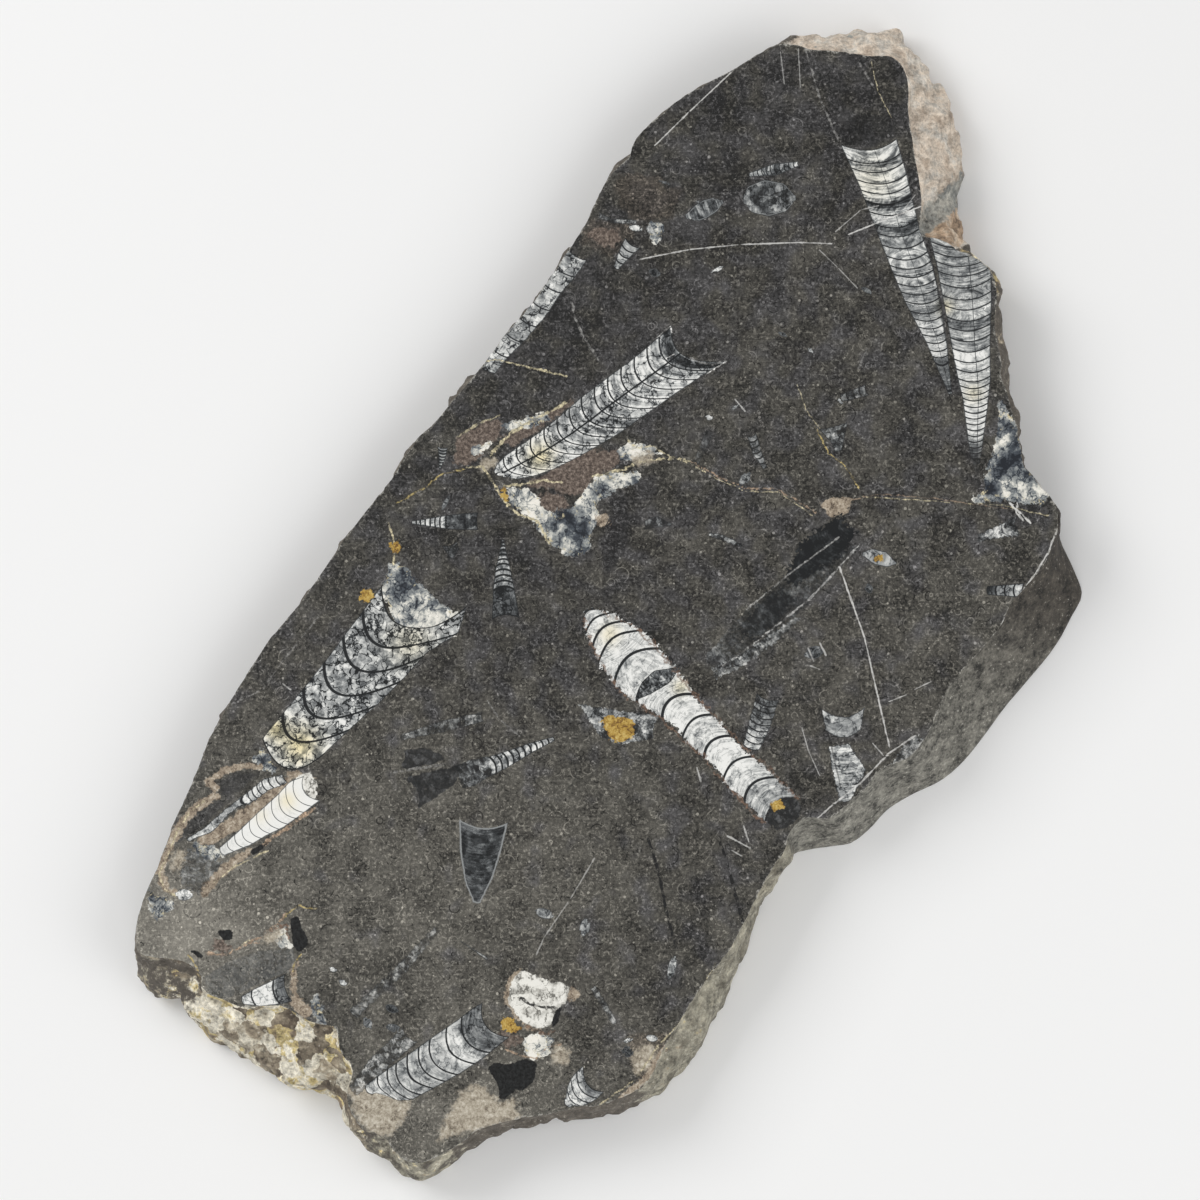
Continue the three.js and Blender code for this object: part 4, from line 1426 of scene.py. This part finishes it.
def shell_group():
    """Lightness and mask of a shell from its chamber count, place across, size, lines and borders."""
    inputs = dict.fromkeys(SHELL_VECTORS, "Vector") | dict.fromkeys(("Clouds", "Cracks", "Fray"), "Float")
    net, given, out = group_net("shell_filling", inputs, {"Light": "Float", "Mask": "Float"})
    count, t, bow = net.parts(given["Chambers"])
    spacing, half, tone = net.parts(given["Size"])
    show, last, mottle = net.parts(given["Filling"])
    wall, tube_at, tube_half = net.parts(given["Lines"])
    fray, rim_width, outline = net.parts(given["Borders"])
    streak, crack, glow = net.parts(given["Look"])
    phase = net.less(count, bow, net.largest(net.less(1.0, t, t), 0.0))
    ragged = net.product(given["Fray"], fray)
    inside = net.plus(ragged, half, net.less(1.0, net.math("ABSOLUTE", t)))
    from_head = net.plus(ragged, phase, spacing)
    from_tip = net.plus(ragged, net.less(last, phase), spacing)
    depth = net.smallest(inside, from_head, from_tip)
    lean = net.math("DIVIDE", net.product(bow, spacing, t, 2.0), half)
    slant = net.math("SQRT", net.plus(1.0, lean, lean))
    part = net.math("FRACT", phase)
    near_wall = net.product(net.smallest(part, net.less(1.0, part)), spacing)
    near_wall = net.math("DIVIDE", near_wall, slant)
    wall_line = net.band(near_wall, wall)
    tube_line = net.band(net.product(net.gap(t, tube_at), half), tube_half)
    outline_line = net.product(net.band(net.math("ABSOLUTE", depth), outline), OUTLINE_SHARE)
    lines = net.largest(wall_line, tube_line, outline_line)
    seed = net.join(net.math("FLOOR", phase), last, mottle)
    chance = net.add("TexWhiteNoise", {"Vector": seed}, noise_dimensions="3D").outputs["Value"]
    along = net.product(phase, spacing, STREAKS_ALONG)
    across = net.product(t, half, STREAKS_ACROSS)
    streaks = net.noise(net.join(along, across, net.product(last, mottle)), 1.0, 2.0, 0.6)
    light = net.plus(tone, net.less(given["Clouds"], 0.5), mottle, MOTTLE_GAIN)
    light = net.plus(light, net.less(streaks, 0.5), streak, STREAK_GAIN)
    light = net.plus(light, net.less(chance, 0.5), CHAMBER_GAIN)
    light = net.less(light, given["Cracks"], crack)
    light = net.plus(light, net.fade(near_wall, *GLOW_REACH), glow)
    light = net.largest(light, net.product(net.band(depth, rim_width), BORDER_LIGHT))
    light = net.product(light, net.less(1.0, lines, LINE_DARKNESS))
    net.feed(out["Light"], net.largest(light, 0.0))
    net.feed(out["Mask"], net.product(net.fade(depth, -SOFT, SOFT), show))
    return net.tree


shell_filling = shell_group()
print("shell group:", len(shell_filling.nodes), "nodes")

# %% [markdown]
# ## Lines
# A vein or scratch is a band about its own middle line. Noise pushes the band sideways and changes
# its width, so a vein wanders and breaks up while a scratch stays straight.

# %% Line group
SWELL_GAIN, SWELL_SHIFT = 2.4, 0.2  # turn noise about 0.5 into a share of the width
BREAK_LEVELS = (0.5, 0.42)  # noise at which a line starts to break up and is gone


def line_group():
    """Mask of a vein or scratch from the distance along and across it, moved sideways by noise."""
    inputs = dict.fromkeys(("Place", "Look"), "Vector")
    inputs |= dict.fromkeys(("Wander", "Swell", "Breaks", "Gaps"), "Float")
    net, given, out = group_net("line", inputs, {"Mask": "Float"})
    _, across, over = net.parts(given["Place"])
    half, strength, wobble = net.parts(given["Look"])
    side = net.plus(across, given["Wander"], wobble)
    reach = net.product(half, net.less(net.product(given["Swell"], SWELL_GAIN), SWELL_SHIFT))
    away = net.math("SQRT", net.plus(net.product(side, side), over, over))
    broken = net.product(net.fade(given["Breaks"], *BREAK_LEVELS), given["Gaps"])
    mask = net.product(net.band(away, reach), strength, net.less(1.0, broken))
    net.feed(out["Mask"], mask)
    return net.tree


line_mask = line_group()
print("line group:", len(line_mask.nodes), "nodes")

# %% [markdown]
# ## The polished face
# The finish is built from the bottom up, as the stone was: limestone, then patches, shells, veins, black
# fillings, and last the scratches and chipped rim. First come the colours, as a screen shows them, and
# for each kind of patch how ragged and how soft its border is.

# %% Colours of the face
STONE_DARK, STONE_WARM = srgb(65, 64, 64), srgb(68, 66, 61)
LIVING_CHAMBER, BROWN = srgb(40, 40, 41), srgb(72, 65, 57)
CHIPPED, CREAM_BORDER = srgb(225, 222, 212), srgb(212, 200, 164)
STAIN = (1.0, 0.88, 0.56)
CALCITE = [
    (0.0, (0.010, 0.011, 0.012)),
    (0.2, (0.035, 0.038, 0.040)),
    (0.42, (0.13, 0.138, 0.142)),
    (0.65, (0.36, 0.37, 0.365)),
    (0.85, (0.66, 0.665, 0.64)),
    (1.0, (0.90, 0.895, 0.86)),
]
BLACK_STOPS = [(0.35, (0.004, 0.004, 0.004)), (0.75, (0.028, 0.029, 0.029))]
RUST_STOPS = stops((0.3, 58, 49, 43), (0.52, 106, 93, 84), (0.72, 154, 140, 128))
TAN_STOPS = stops((0.3, 84, 73, 63), (0.43, 140, 126, 109), (0.55, 174, 160, 141), (0.7, 222, 214, 198))
CRUST_STOPS = stops((0.3, 116, 106, 92), (0.5, 178, 168, 150), (0.68, 222, 215, 200))
OCHRE_STOPS = stops((0.34, 112, 80, 38), (0.48, 178, 144, 66), (0.62, 206, 180, 108), (0.76, 232, 222, 182))
SLATE_STOPS = stops((0.35, 26, 27, 28), (0.52, 42, 43, 44), (0.75, 100, 101, 102))
WHITE_STOPS = stops((0.3, 120, 118, 112), (0.42, 196, 194, 186), (0.56, 240, 238, 230))
CRYSTAL_STOPS = stops(
    (0.24, 34, 38, 45), (0.4, 76, 82, 89), (0.54, 142, 146, 146), (0.68, 222, 220, 210), (0.8, 244, 240, 230)
)
PATCH_BORDERS = dict(  # how far noise moves the border and how soft it is, in mm, and how well it covers
    brown=(2.0, 1.0, 0.6),
    dark=(1.0, 1.0, 0.7),
    rust=(2.2, 0.5, 0.92),
    crystal=(1.9, 0.2, 1.0),
    crust=(2.4, 1.2, 0.95),
    tan=(1.5, 0.3, 1.0),
    white=(1.0, 0.2, 1.0),
    slate=(0.8, 0.2, 0.9),
    ochre=(1.6, 0.2, 1.0),
    black=(0.6, 0.15, 1.0),
)
print("every kind of patch has a border:", PATCH_BORDERS.keys() == PATCHES.keys())

# %% [markdown]
# Calcite breaks along curved cracks. A web of cells would look like a honeycomb, so the cracks follow the
# contours of two noises. Thin broken rings stand for the countless tiny shells in the mud.

# %% Stone and calcite
BLOCK_SIZE, BEND_SIZE, BEND_REACH, CALCITE_SIZE = 2.4, 6.0, 4.6, 3.0  # mm
CLOUD_SHARE, BLOCK_SHARE = 0.36, 0.07  # of the calcite's lightness
CRACK_HALF = 0.026  # of the noise about its contour
TINY_SIZES, TINY_STRENGTH = (7.5, 3.6), 4.0  # mm, and how strongly tiny shells show
TINY_RADIUS, TINY_SPREAD = 0.1, 0.26  # in cells
TINY_LINE = np.array((0.24, 0.06))  # mm, where a ring's line starts and is full
HAIR_TURN, HAIR_SHIFT, HAIR_STRETCH = 1.2, (3, 1, 0), (0.05, 1.6, 1)
HAIR_LEVELS, HAIR_STRENGTH = (0.62, 0.76), 0.45
# Gain of the tone and painted sheen on the lightness and on the contrast of the detail, its limit there, and
# the least lightness.
TONE_AND_SHEEN_GAIN, TONE_AND_SHEEN_CONTRAST, TONE_AND_SHEEN_LIMIT, LEAST_LIGHT = 0.92, 0.45, 1.6, 0.22


def crystal_blocks(net, where):
    """Calcite: cloudy noise plus a chance tone for each block; cracks are contours of two noises."""
    bend = net.noise(where, BEND_SIZE, 3.0, 0.5, "Color")
    first, second = net.parts(bend)[:2]
    seam = net.smallest(net.gap(first, 0.5), net.gap(second, 0.5))
    bend = net.tint(net.combine("SUBTRACT", bend, (0.5, 0.5, 0.5)), BEND_REACH)
    bent = net.combine("ADD", where, bend)
    clouds = net.signed(net.noise(where, CALCITE_SIZE, 5.0, 0.68))
    block = net.signed(net.parts(net.cells(bent, BLOCK_SIZE)["Color"])[0])
    calcite = net.plus(net.product(clouds, CLOUD_SHARE), block, BLOCK_SHARE)
    cracks = net.product(net.fade(seam, CRACK_HALF, 0.0), net.fade(clouds, 0.5, 0.0))
    return net.plus(calcite, 0.5), cracks


def tiny_shells(net, where, size):
    """Rims of tiny shells: thin rings about random middles, broken into arcs by noise, pale or dark."""
    cells = net.cells(where, size)
    chance = net.parts(cells["Color"])
    radius = net.plus(TINY_RADIUS, chance[0], TINY_SPREAD)
    ring = net.fade(net.gap(cells["Distance"], radius), *(TINY_LINE / size))
    arc = net.fade(net.noise(where, size / 2, 1.0), 0.5, 0.58)
    return net.product(ring, arc, net.less(chance[2], 0.45))


def hair_scratches(net, where):
    """Faint polishing marks: noise stretched along one direction, cut to its highest lines."""
    place = net.stretched(where, rotation=(0, 0, HAIR_TURN), location=HAIR_SHIFT, scale=HAIR_STRETCH)
    return net.fade(net.noise(place, 1.0, 1.0, 0.4), *HAIR_LEVELS)


def bare_stone(net, where):
    """Colour, lightness with its painted sheen, and large clouds of the limestone before anything lies in
    it.
    """
    inputs = {"Where": where, "Clouds": 2.8, "Grain": 3.2, "Threads": 1.8, "Specks": 5.0}
    stone = net.add("Group", inputs, node_tree=limestone).outputs
    shade = net.number("shade")
    detail = net.less(stone["Light"], 1.0)
    for size in TINY_SIZES:
        detail = net.plus(detail, tiny_shells(net, where, size), TINY_STRENGTH)
    detail = net.plus(detail, hair_scratches(net, where), HAIR_STRENGTH)
    contrast = net.plus(1.0, net.smallest(shade, TONE_AND_SHEEN_LIMIT), TONE_AND_SHEEN_CONTRAST)
    # The level is the stone's own tone plus the painted sheen of the polish.
    level = net.plus(1.0, shade, TONE_AND_SHEEN_GAIN)
    light = net.largest(net.plus(level, detail, contrast), LEAST_LIGHT)
    clouds = net.noise(where, 9.0, 1.0)
    warmth = net.fade(net.plus(clouds, shade, 0.3), 0.3, 0.65)
    return net.tint(net.mix(warmth, STONE_DARK, STONE_WARM), light), light, clouds


print("tiny shells in cells of", TINY_SIZES, "mm")

# %% [markdown]
# Borders, crystals and dust come from a few shared noises. Each step lays one sort of marking over the
# colour so far and hands on where it is dull.

# %% Markings of the face
JAG_SIZE, FRAY_SIZE, DUST_SIZE, SWELL_SIZE = 3.2, 1.3, 1.1, 2.2  # mm
FACET_GAIN, FACET_CLOUDS, FACET_SHIFT = 0.95, 0.75, 0.28
CREAM_DEPTH = (-2.2, -0.2)  # mm from the crystals' border
DULL_CRUST = 0.95
VEIN_GAPS, SCRATCH_GAPS, VEIN_GLINT = 0.85, 0.4, 4.0
CHIP_RAGGED, CHIP_WIDTH, CHIP_COVER = 1.6, (0.5, 0.1), 0.85


def face_noises(net, where):
    """The noises that the markings share: jagged and frayed borders, dust, calcite and its cracks."""
    noise = SimpleNamespace()
    noise.jag = net.signed(net.noise(where, JAG_SIZE, 3.0, 0.65))
    noise.fray = net.signed(net.noise(where, FRAY_SIZE, 2.0, 0.6))
    noise.rough = net.plus(noise.jag, noise.fray, 0.5)
    noise.dust = net.noise(where, DUST_SIZE, 3.0, 0.75)
    noise.swell = net.noise(where, SWELL_SIZE, 2.0)
    noise.calcite, noise.cracks = crystal_blocks(net, where)
    noise.sparkle = net.less(net.plus(noise.calcite, noise.fray, 0.1), noise.cracks, 0.2)
    noise.earthy = net.plus(net.product(noise.sparkle, 0.55), noise.dust, 0.45)
    return noise


def patch_distance(net, kind, border):
    """Distance to the outline of a kind of patch, less than 0 inside, moved by noise."""
    return net.plus(net.number(f"patch_{kind}"), border, PATCH_BORDERS[kind][0])


def lay_patch(net, kind, border, colour, paint):
    """The colour with one kind of patch painted over it, and the mask of the patch."""
    _, soft, cover = PATCH_BORDERS[kind]
    mask = net.fade(patch_distance(net, kind, border), soft, -soft)
    return net.mix(net.product(mask, cover), colour, paint), mask


def crystal_colour(net, noise, clouds):
    """Facets from slate to white, with a broken cream border."""
    depth = net.fade(patch_distance(net, "crystal", noise.rough), *CREAM_DEPTH)
    cream = net.product(depth, net.fade(noise.dust, 0.48, 0.56), net.fade(noise.jag, 0.0, 0.3))
    facets = net.plus(net.product(noise.sparkle, FACET_GAIN), clouds, FACET_CLOUDS)
    facets = net.plus(net.less(facets, FACET_SHIFT), net.number("glint"))
    return net.mix(cream, net.ramp(facets, CRYSTAL_STOPS), CREAM_BORDER)


def lay_minerals(net, noise, colour, light, clouds):
    """All patches below the shells, each over the last, and the masks of the dull and the white ones."""
    border = noise.rough
    # Brown and dark patches take the stone's lightness, painted sheen included.
    colour, _ = lay_patch(net, "brown", noise.jag, colour, net.tint(BROWN, light))
    colour, _ = lay_patch(net, "dark", noise.jag, colour, net.tint(LIVING_CHAMBER, light))
    colour, rust = lay_patch(net, "rust", border, colour, net.ramp(noise.dust, RUST_STOPS))
    colour, _ = lay_patch(net, "crystal", border, colour, crystal_colour(net, noise, clouds))
    colour, crust = lay_patch(net, "crust", border, colour, net.ramp(noise.earthy, CRUST_STOPS))
    colour, tan = lay_patch(net, "tan", border, colour, net.ramp(noise.earthy, TAN_STOPS))
    colour, white = lay_patch(net, "white", border, colour, net.ramp(noise.sparkle, WHITE_STOPS))
    return colour, net.largest(rust, tan, net.product(crust, DULL_CRUST)), white


def lay_shells(net, noise, colour, calcite):
    """Both layers of shells, stained where iron got in, and the mask of all calcite so far."""
    stain = net.smallest(net.number("stain"), 1.0)
    for layer in (0, 1):
        inputs = {name: net.vector(f"shell_{name.lower()}_{layer}") for name in SHELL_VECTORS}
        inputs |= {"Clouds": noise.calcite, "Cracks": noise.cracks, "Fray": noise.fray}
        light, mask = net.add("Group", inputs, node_tree=shell_filling).outputs
        filling = net.ramp(light, CALCITE)
        stained = net.combine("MULTIPLY", filling, STAIN)
        colour = net.mix(mask, colour, net.mix(stain, filling, stained))
        calcite = net.largest(calcite, mask)
    return colour, calcite


def line_layer(net, noise, name, wander, gaps):
    """The mask and colour of one layer of lines."""
    inputs = {"Place": net.vector(f"{name}_place"), "Look": net.vector(f"{name}_look")}
    inputs |= {"Wander": wander, "Swell": noise.swell, "Breaks": noise.calcite, "Gaps": gaps}
    return net.add("Group", inputs, node_tree=line_mask).outputs["Mask"], net.vector(f"{name}_colour")


def lay_fillings(net, noise, colour):
    """Slate, veins, ochre, black fillings and scratches, each over the last, and a mask of the dull."""
    border = noise.rough
    colour, _ = lay_patch(net, "slate", border, colour, net.ramp(noise.sparkle, SLATE_STOPS))
    vein, vein_colour = line_layer(net, noise, "vein", noise.rough, VEIN_GAPS)
    glint = net.product(noise.dust, noise.dust, VEIN_GLINT)
    colour = net.mix(vein, colour, net.tint(vein_colour, glint))
    colour, ochre = lay_patch(net, "ochre", border, colour, net.ramp(noise.earthy, OCHRE_STOPS))
    colour, _ = lay_patch(net, "black", border, colour, net.ramp(noise.dust, BLACK_STOPS))
    scratch, scratch_colour = line_layer(net, noise, "scratch", noise.jag, SCRATCH_GAPS)
    return net.mix(scratch, colour, scratch_colour), net.largest(vein, ochre, scratch)


def lay_chips(net, noise, colour):
    """Pale chips close to the rim, and their mask."""
    near_rim = net.plus(net.number("rim_gap"), noise.rough, CHIP_RAGGED)
    chipped = net.product(net.fade(near_rim, *CHIP_WIDTH), net.fade(noise.fray, -0.2, 0.15))
    paint = net.tint(CHIPPED, noise.dust)
    return net.mix(net.product(chipped, CHIP_COVER), colour, paint), chipped


print("markings laid in", len(PATCH_BORDERS), "kinds of patch, 2 layers of shells and 2 of lines")

# %% [markdown]
# The Principled shader gives the soft gloss of a worn polish. Calcite is glossier than the rusty and
# chipped places, and those get a fine bump, since polish doesn't hold on them.

# %% Face finish
FACE_ROUGHNESS, DULL_ROUGHNESS, CALCITE_GLOSS = 0.38, 0.26, 0.06
FACE_SPECULAR = 0.32
DULL_BUMP, DULL_BUMP_HEIGHT = 0.3, 0.0005  # strength, and height in m


def new_finish(name, flat=False):
    """A material with a Principled shader, its net, and its places in mm."""
    material = bpy.data.materials.new(name)
    material.use_nodes = True
    net = Net(material.node_tree, flat)
    shader = material.node_tree.nodes["Principled BSDF"]
    return material, net, shader, net.tint(net.add("TexCoord").outputs["Object"], 1 / MM)


def feed_shader(net, shader, colour, roughness, bump):
    """Colour, roughness and a bump's strength, height in m and field, to the Principled shader."""
    strength, height, field = bump
    raised = net.add("Bump", {"Strength": strength, "Distance": height, "Height": field})
    net.feed(shader.inputs["Base Color"], colour)
    net.feed(shader.inputs["Roughness"], roughness)
    net.feed(shader.inputs["Normal"], raised.outputs["Normal"])


def face_finish():
    """The polished face, from bare limestone to scratches."""
    material, net, shader, where = new_finish("polished_face", flat=True)
    noise = face_noises(net, where)
    colour, light, clouds = bare_stone(net, where)
    colour, dull_minerals, white = lay_minerals(net, noise, colour, light, clouds)
    colour, calcite = lay_shells(net, noise, colour, white)
    colour, dull_fillings = lay_fillings(net, noise, colour)
    colour, chipped = lay_chips(net, noise, colour)
    dull = net.largest(dull_minerals, dull_fillings, chipped)
    roughness = net.less(net.plus(FACE_ROUGHNESS, dull, DULL_ROUGHNESS), calcite, CALCITE_GLOSS)
    shader.inputs["Specular IOR Level"].default_value = FACE_SPECULAR
    bump = (net.product(dull, DULL_BUMP), DULL_BUMP_HEIGHT, noise.dust)
    feed_shader(net, shader, colour, roughness, bump)
    return material


polished_face = face_finish()
print("polished face:", len(polished_face.node_tree.nodes), "nodes")

# %% [markdown]
# ## The edge
# The edge shows several surfaces over plain broken limestone: a pinkish weathered rind with grey and clay
# places, cream crust with ochre, olive stone, and a sawn stretch full of grit. The mesh says how much of
# each there is at each place, and noise makes the borders between them ragged. Every surface is also painted
# darker in the hollows of the relief and lighter on its lumps: painted shadow and light over its own grit.

# %% Edge finish
# Bare broken stone goes from dark to pale with the relief: its own mottling, and painted shadow in the
# hollows.
BROKEN_STOPS_WITH_SHADOW = stops((0.3, 58, 53, 48), (0.5, 98, 92, 84), (0.7, 150, 143, 131))
EDGE_STOPS = dict(
    olive=stops((0.35, 112, 107, 94), (0.5, 146, 142, 128), (0.65, 170, 164, 146)),
    cream=stops(
        (0.36, 88, 78, 67), (0.44, 152, 141, 122), (0.5, 206, 199, 181), (0.56, 226, 220, 204),
        (0.61, 202, 184, 130), (0.68, 128, 114, 97),
    ),
    rind=stops((0.35, 190, 173, 155), (0.5, 222, 208, 191), (0.62, 212, 205, 194)),
    grey=stops((0.35, 112, 114, 112), (0.5, 146, 146, 140), (0.65, 176, 172, 162)),
    clay=stops((0.35, 122, 104, 86), (0.5, 176, 152, 128), (0.65, 208, 192, 172)),
)
SAWN_LIGHT, SAWN_BROWN = srgb(122, 120, 112), srgb(53, 47, 40)
LUMP_SIZE, GRIT_SIZE, BED_SIZE = 5.0, 1.2, 6.0  # mm
CRUST_BLOCK_SIZE, CRUST_BEND_SIZE, CRUST_BEND = 6.5, 4.0, 7.0  # mm
CRUST_SHARES = (0.3, 0.42, 0.15)  # of blocks and beds in the crust's tone, and what is added
RELIEF_SHARES = (0.55, 0.45)  # of lumps and grit
# Gain, shift and least of the painted relief shadow: most surfaces, the milder rind, and the sawn stretch,
# where it is grit too.
EDGE_RELIEF_SHADOW, RIND_RELIEF_SHADOW, SAWN_GRIT_AND_SHADOW = (5.0, 1.5, 0.15), (3.8, 0.95, 0.3), (7.5, 2.75, 0.15)
KIND_RAGGED = 0.6  # how far noise moves a kind's share
KIND_LEVELS = (0.4, 0.55)  # shares at which a kind starts and is full
PALE_GRIT, PALE_COVER = (0.64, 0.7), 0.5
EDGE_ROUGHNESS, GRIT_ROUGHNESS = 0.66, 0.3
EDGE_BUMP, EDGE_BUMP_HEIGHT = 0.9, 0.0012  # strength, and height in m


def painted_relief_shadow(net, relief, gain, shift, least):
    """Painted shadow and light from the relief, dark in its hollows and light on its lumps: times a gain,
    less a shift, and never below the least.
    """
    return net.largest(net.less(net.product(relief, gain), shift), least)


def edge_finish():
    """The broken and sawn edge: each kind of surface mixed over the last by its share on the mesh."""
    material, net, shader, where = new_finish("broken_edge")
    lumps = net.noise(where, LUMP_SIZE, 5.0, 0.68)
    grit = net.noise(where, GRIT_SIZE, 3.0, 0.75)
    beds = net.noise(where, BED_SIZE, 4.0, 0.65)
    bend = net.tint(net.noise(where, CRUST_BEND_SIZE, 3.0, 0.5, "Color"), CRUST_BEND)
    block = net.parts(net.cells(net.combine("ADD", where, bend), CRUST_BLOCK_SIZE)["Color"])[0]
    crust = net.plus(net.product(block, CRUST_SHARES[0]), beds, CRUST_SHARES[1])
    crust = net.plus(crust, CRUST_SHARES[2])
    relief = net.plus(net.product(lumps, RELIEF_SHARES[0]), grit, RELIEF_SHARES[1])
    # Painted shadow and light: every surface is darkened in the relief's hollows and lightened on its lumps.
    light = painted_relief_shadow(net, relief, *EDGE_RELIEF_SHADOW)
    rind_relief_shadow = painted_relief_shadow(net, relief, *RIND_RELIEF_SHADOW)
    sawn_grit_and_shadow = painted_relief_shadow(net, relief, *SAWN_GRIT_AND_SHADOW)
    surfaces = {}
    for kind, colours in EDGE_STOPS.items():
        tone = crust if kind == "cream" else beds
        surfaces[kind] = net.tint(net.ramp(tone, colours), rind_relief_shadow if kind == "rind" else light)
    sawn = net.mix(net.number("edge_dark"), SAWN_LIGHT, SAWN_BROWN)
    surfaces["sawn"] = net.tint(sawn, sawn_grit_and_shadow)
    border = net.product(net.signed(lumps), KIND_RAGGED)
    # Bare broken stone takes its colour from the relief, so its hollows are painted dark.
    colour = net.ramp(relief, BROKEN_STOPS_WITH_SHADOW)
    for kind, surface in surfaces.items():
        share = net.plus(net.number(f"edge_{kind}"), border)
        colour = net.mix(net.fade(share, *KIND_LEVELS), colour, surface)
    colour = net.mix(net.product(net.fade(grit, *PALE_GRIT), PALE_COVER), colour, CHIPPED)
    roughness = net.plus(EDGE_ROUGHNESS, grit, GRIT_ROUGHNESS)
    feed_shader(net, shader, colour, roughness, (EDGE_BUMP, EDGE_BUMP_HEIGHT, relief))
    return material


broken_edge = edge_finish()
print("edge finish:", len(broken_edge.node_tree.nodes), "nodes")

# %% [markdown]
# ## The base
# The base keeps the fine parallel marks of the saw: noise stretched far along one direction, over the
# limestone group with weaker grain.

# %% Base finish
BASE_STOPS = stops((0.2, 62, 59, 55), (0.5, 92, 89, 84), (0.8, 126, 122, 115))
MARK_TURN, MARK_STRETCH = 0.4, (0.02, 1.0, 1.0)
MARK_MIDDLE, MARK_GAIN, STONE_GAIN = 0.2, 0.5, 0.35
BASE_ROUGHNESS, MARK_ROUGHNESS = 0.62, 0.2
BASE_BUMP, BASE_BUMP_HEIGHT = 0.3, 0.0005  # strength, and height in m


def base_finish():
    """The sawn base: grey stone with fine parallel marks."""
    material, net, shader, where = new_finish("sawn_base", flat=True)
    place = net.stretched(where, rotation=(0, 0, MARK_TURN), scale=MARK_STRETCH)
    marks = net.noise(place, 1.0, 2.0, 0.5)
    inputs = {"Where": where, "Clouds": 0.7, "Grain": 0.8, "Threads": 0.3, "Specks": 0.8}
    stone = net.add("Group", inputs, node_tree=limestone).outputs
    tone = net.plus(net.product(stone["Light"], STONE_GAIN), net.less(marks, MARK_MIDDLE), MARK_GAIN)
    roughness = net.plus(BASE_ROUGHNESS, marks, MARK_ROUGHNESS)
    feed_shader(net, shader, net.ramp(tone, BASE_STOPS), roughness, (BASE_BUMP, BASE_BUMP_HEIGHT, marks))
    return material


for finish in (polished_face, broken_edge, base_finish()):
    slab_mesh.materials.append(finish)
print("finishes:", [material.name for material in slab_mesh.materials])

# %% [markdown]
# ## A flat map for the finish
# A game or a viewer needs the finish as pictures laid out on a flat map. The face takes most of the
# map, the edge is cut into four strips beside it, and the base fits in the corner below them.

# %% Flat map for the finish
MAP_NAME = "OFBake"
FACE_SCALE = 0.00232  # share of the map for a millimetre of the face
STRIP_COUNT = 4
STRIP_LEFT, STRIP_PITCH, STRIP_WIDTH = 0.755, 0.06, 0.05
STRIP_BOTTOM, STRIP_HEIGHT = 0.36, 0.62
BASE_LEFT, BASE_BOTTOM, BASE_SCALE = 0.755, 0.02, 0.00075
MARGIN = 0.01

map_layer = slab_mesh.uv_layers.new(name=MAP_NAME)
low = np.array(cad_box[0][:2]) / MM
flat = np.zeros((len(corner_points), 2))
corners_of_face = np.where(np.arange(len(slot_of_face)) < len(quads), 4, 3)
corner_slot = np.repeat(slot_of_face, corners_of_face)
places_xy = slab_places[corner_points, :2] - low
flat[corner_slot == FACE] = MARGIN + places_xy[corner_slot == FACE] * FACE_SCALE
flat[corner_slot == BASE] = (BASE_LEFT, BASE_BOTTOM) + places_xy[corner_slot == BASE] * BASE_SCALE
cell = np.arange(edge_faces)
row, column = cell // len(rim), cell % len(rim)
strip_length = len(rim) // STRIP_COUNT
across = (row[:, None] + (0, 1, 1, 0)) / EDGE_ROWS * STRIP_WIDTH
down = (column % strip_length)[:, None] + np.array((0, 0, 1, 1))
strip_u = STRIP_LEFT + (column // strip_length)[:, None] * STRIP_PITCH + across
strip_v = STRIP_BOTTOM + down / strip_length * STRIP_HEIGHT
flat[corner_slot == EDGE] = np.stack((strip_u, strip_v), -1).reshape(-1, 2)
map_layer.uv.foreach_set("vector", flat.astype(np.float32).ravel())
print(f"map fills {flat.min(axis=0).round(3).tolist()} to {flat.max(axis=0).round(3).tolist()}")

# %% [markdown]
# ## Handing the slab over
# The fine slab rides on the stone's one body and stands for the packed solid, in the same place.

# %% Finish
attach(slab, "root")
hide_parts("fossil_slab")
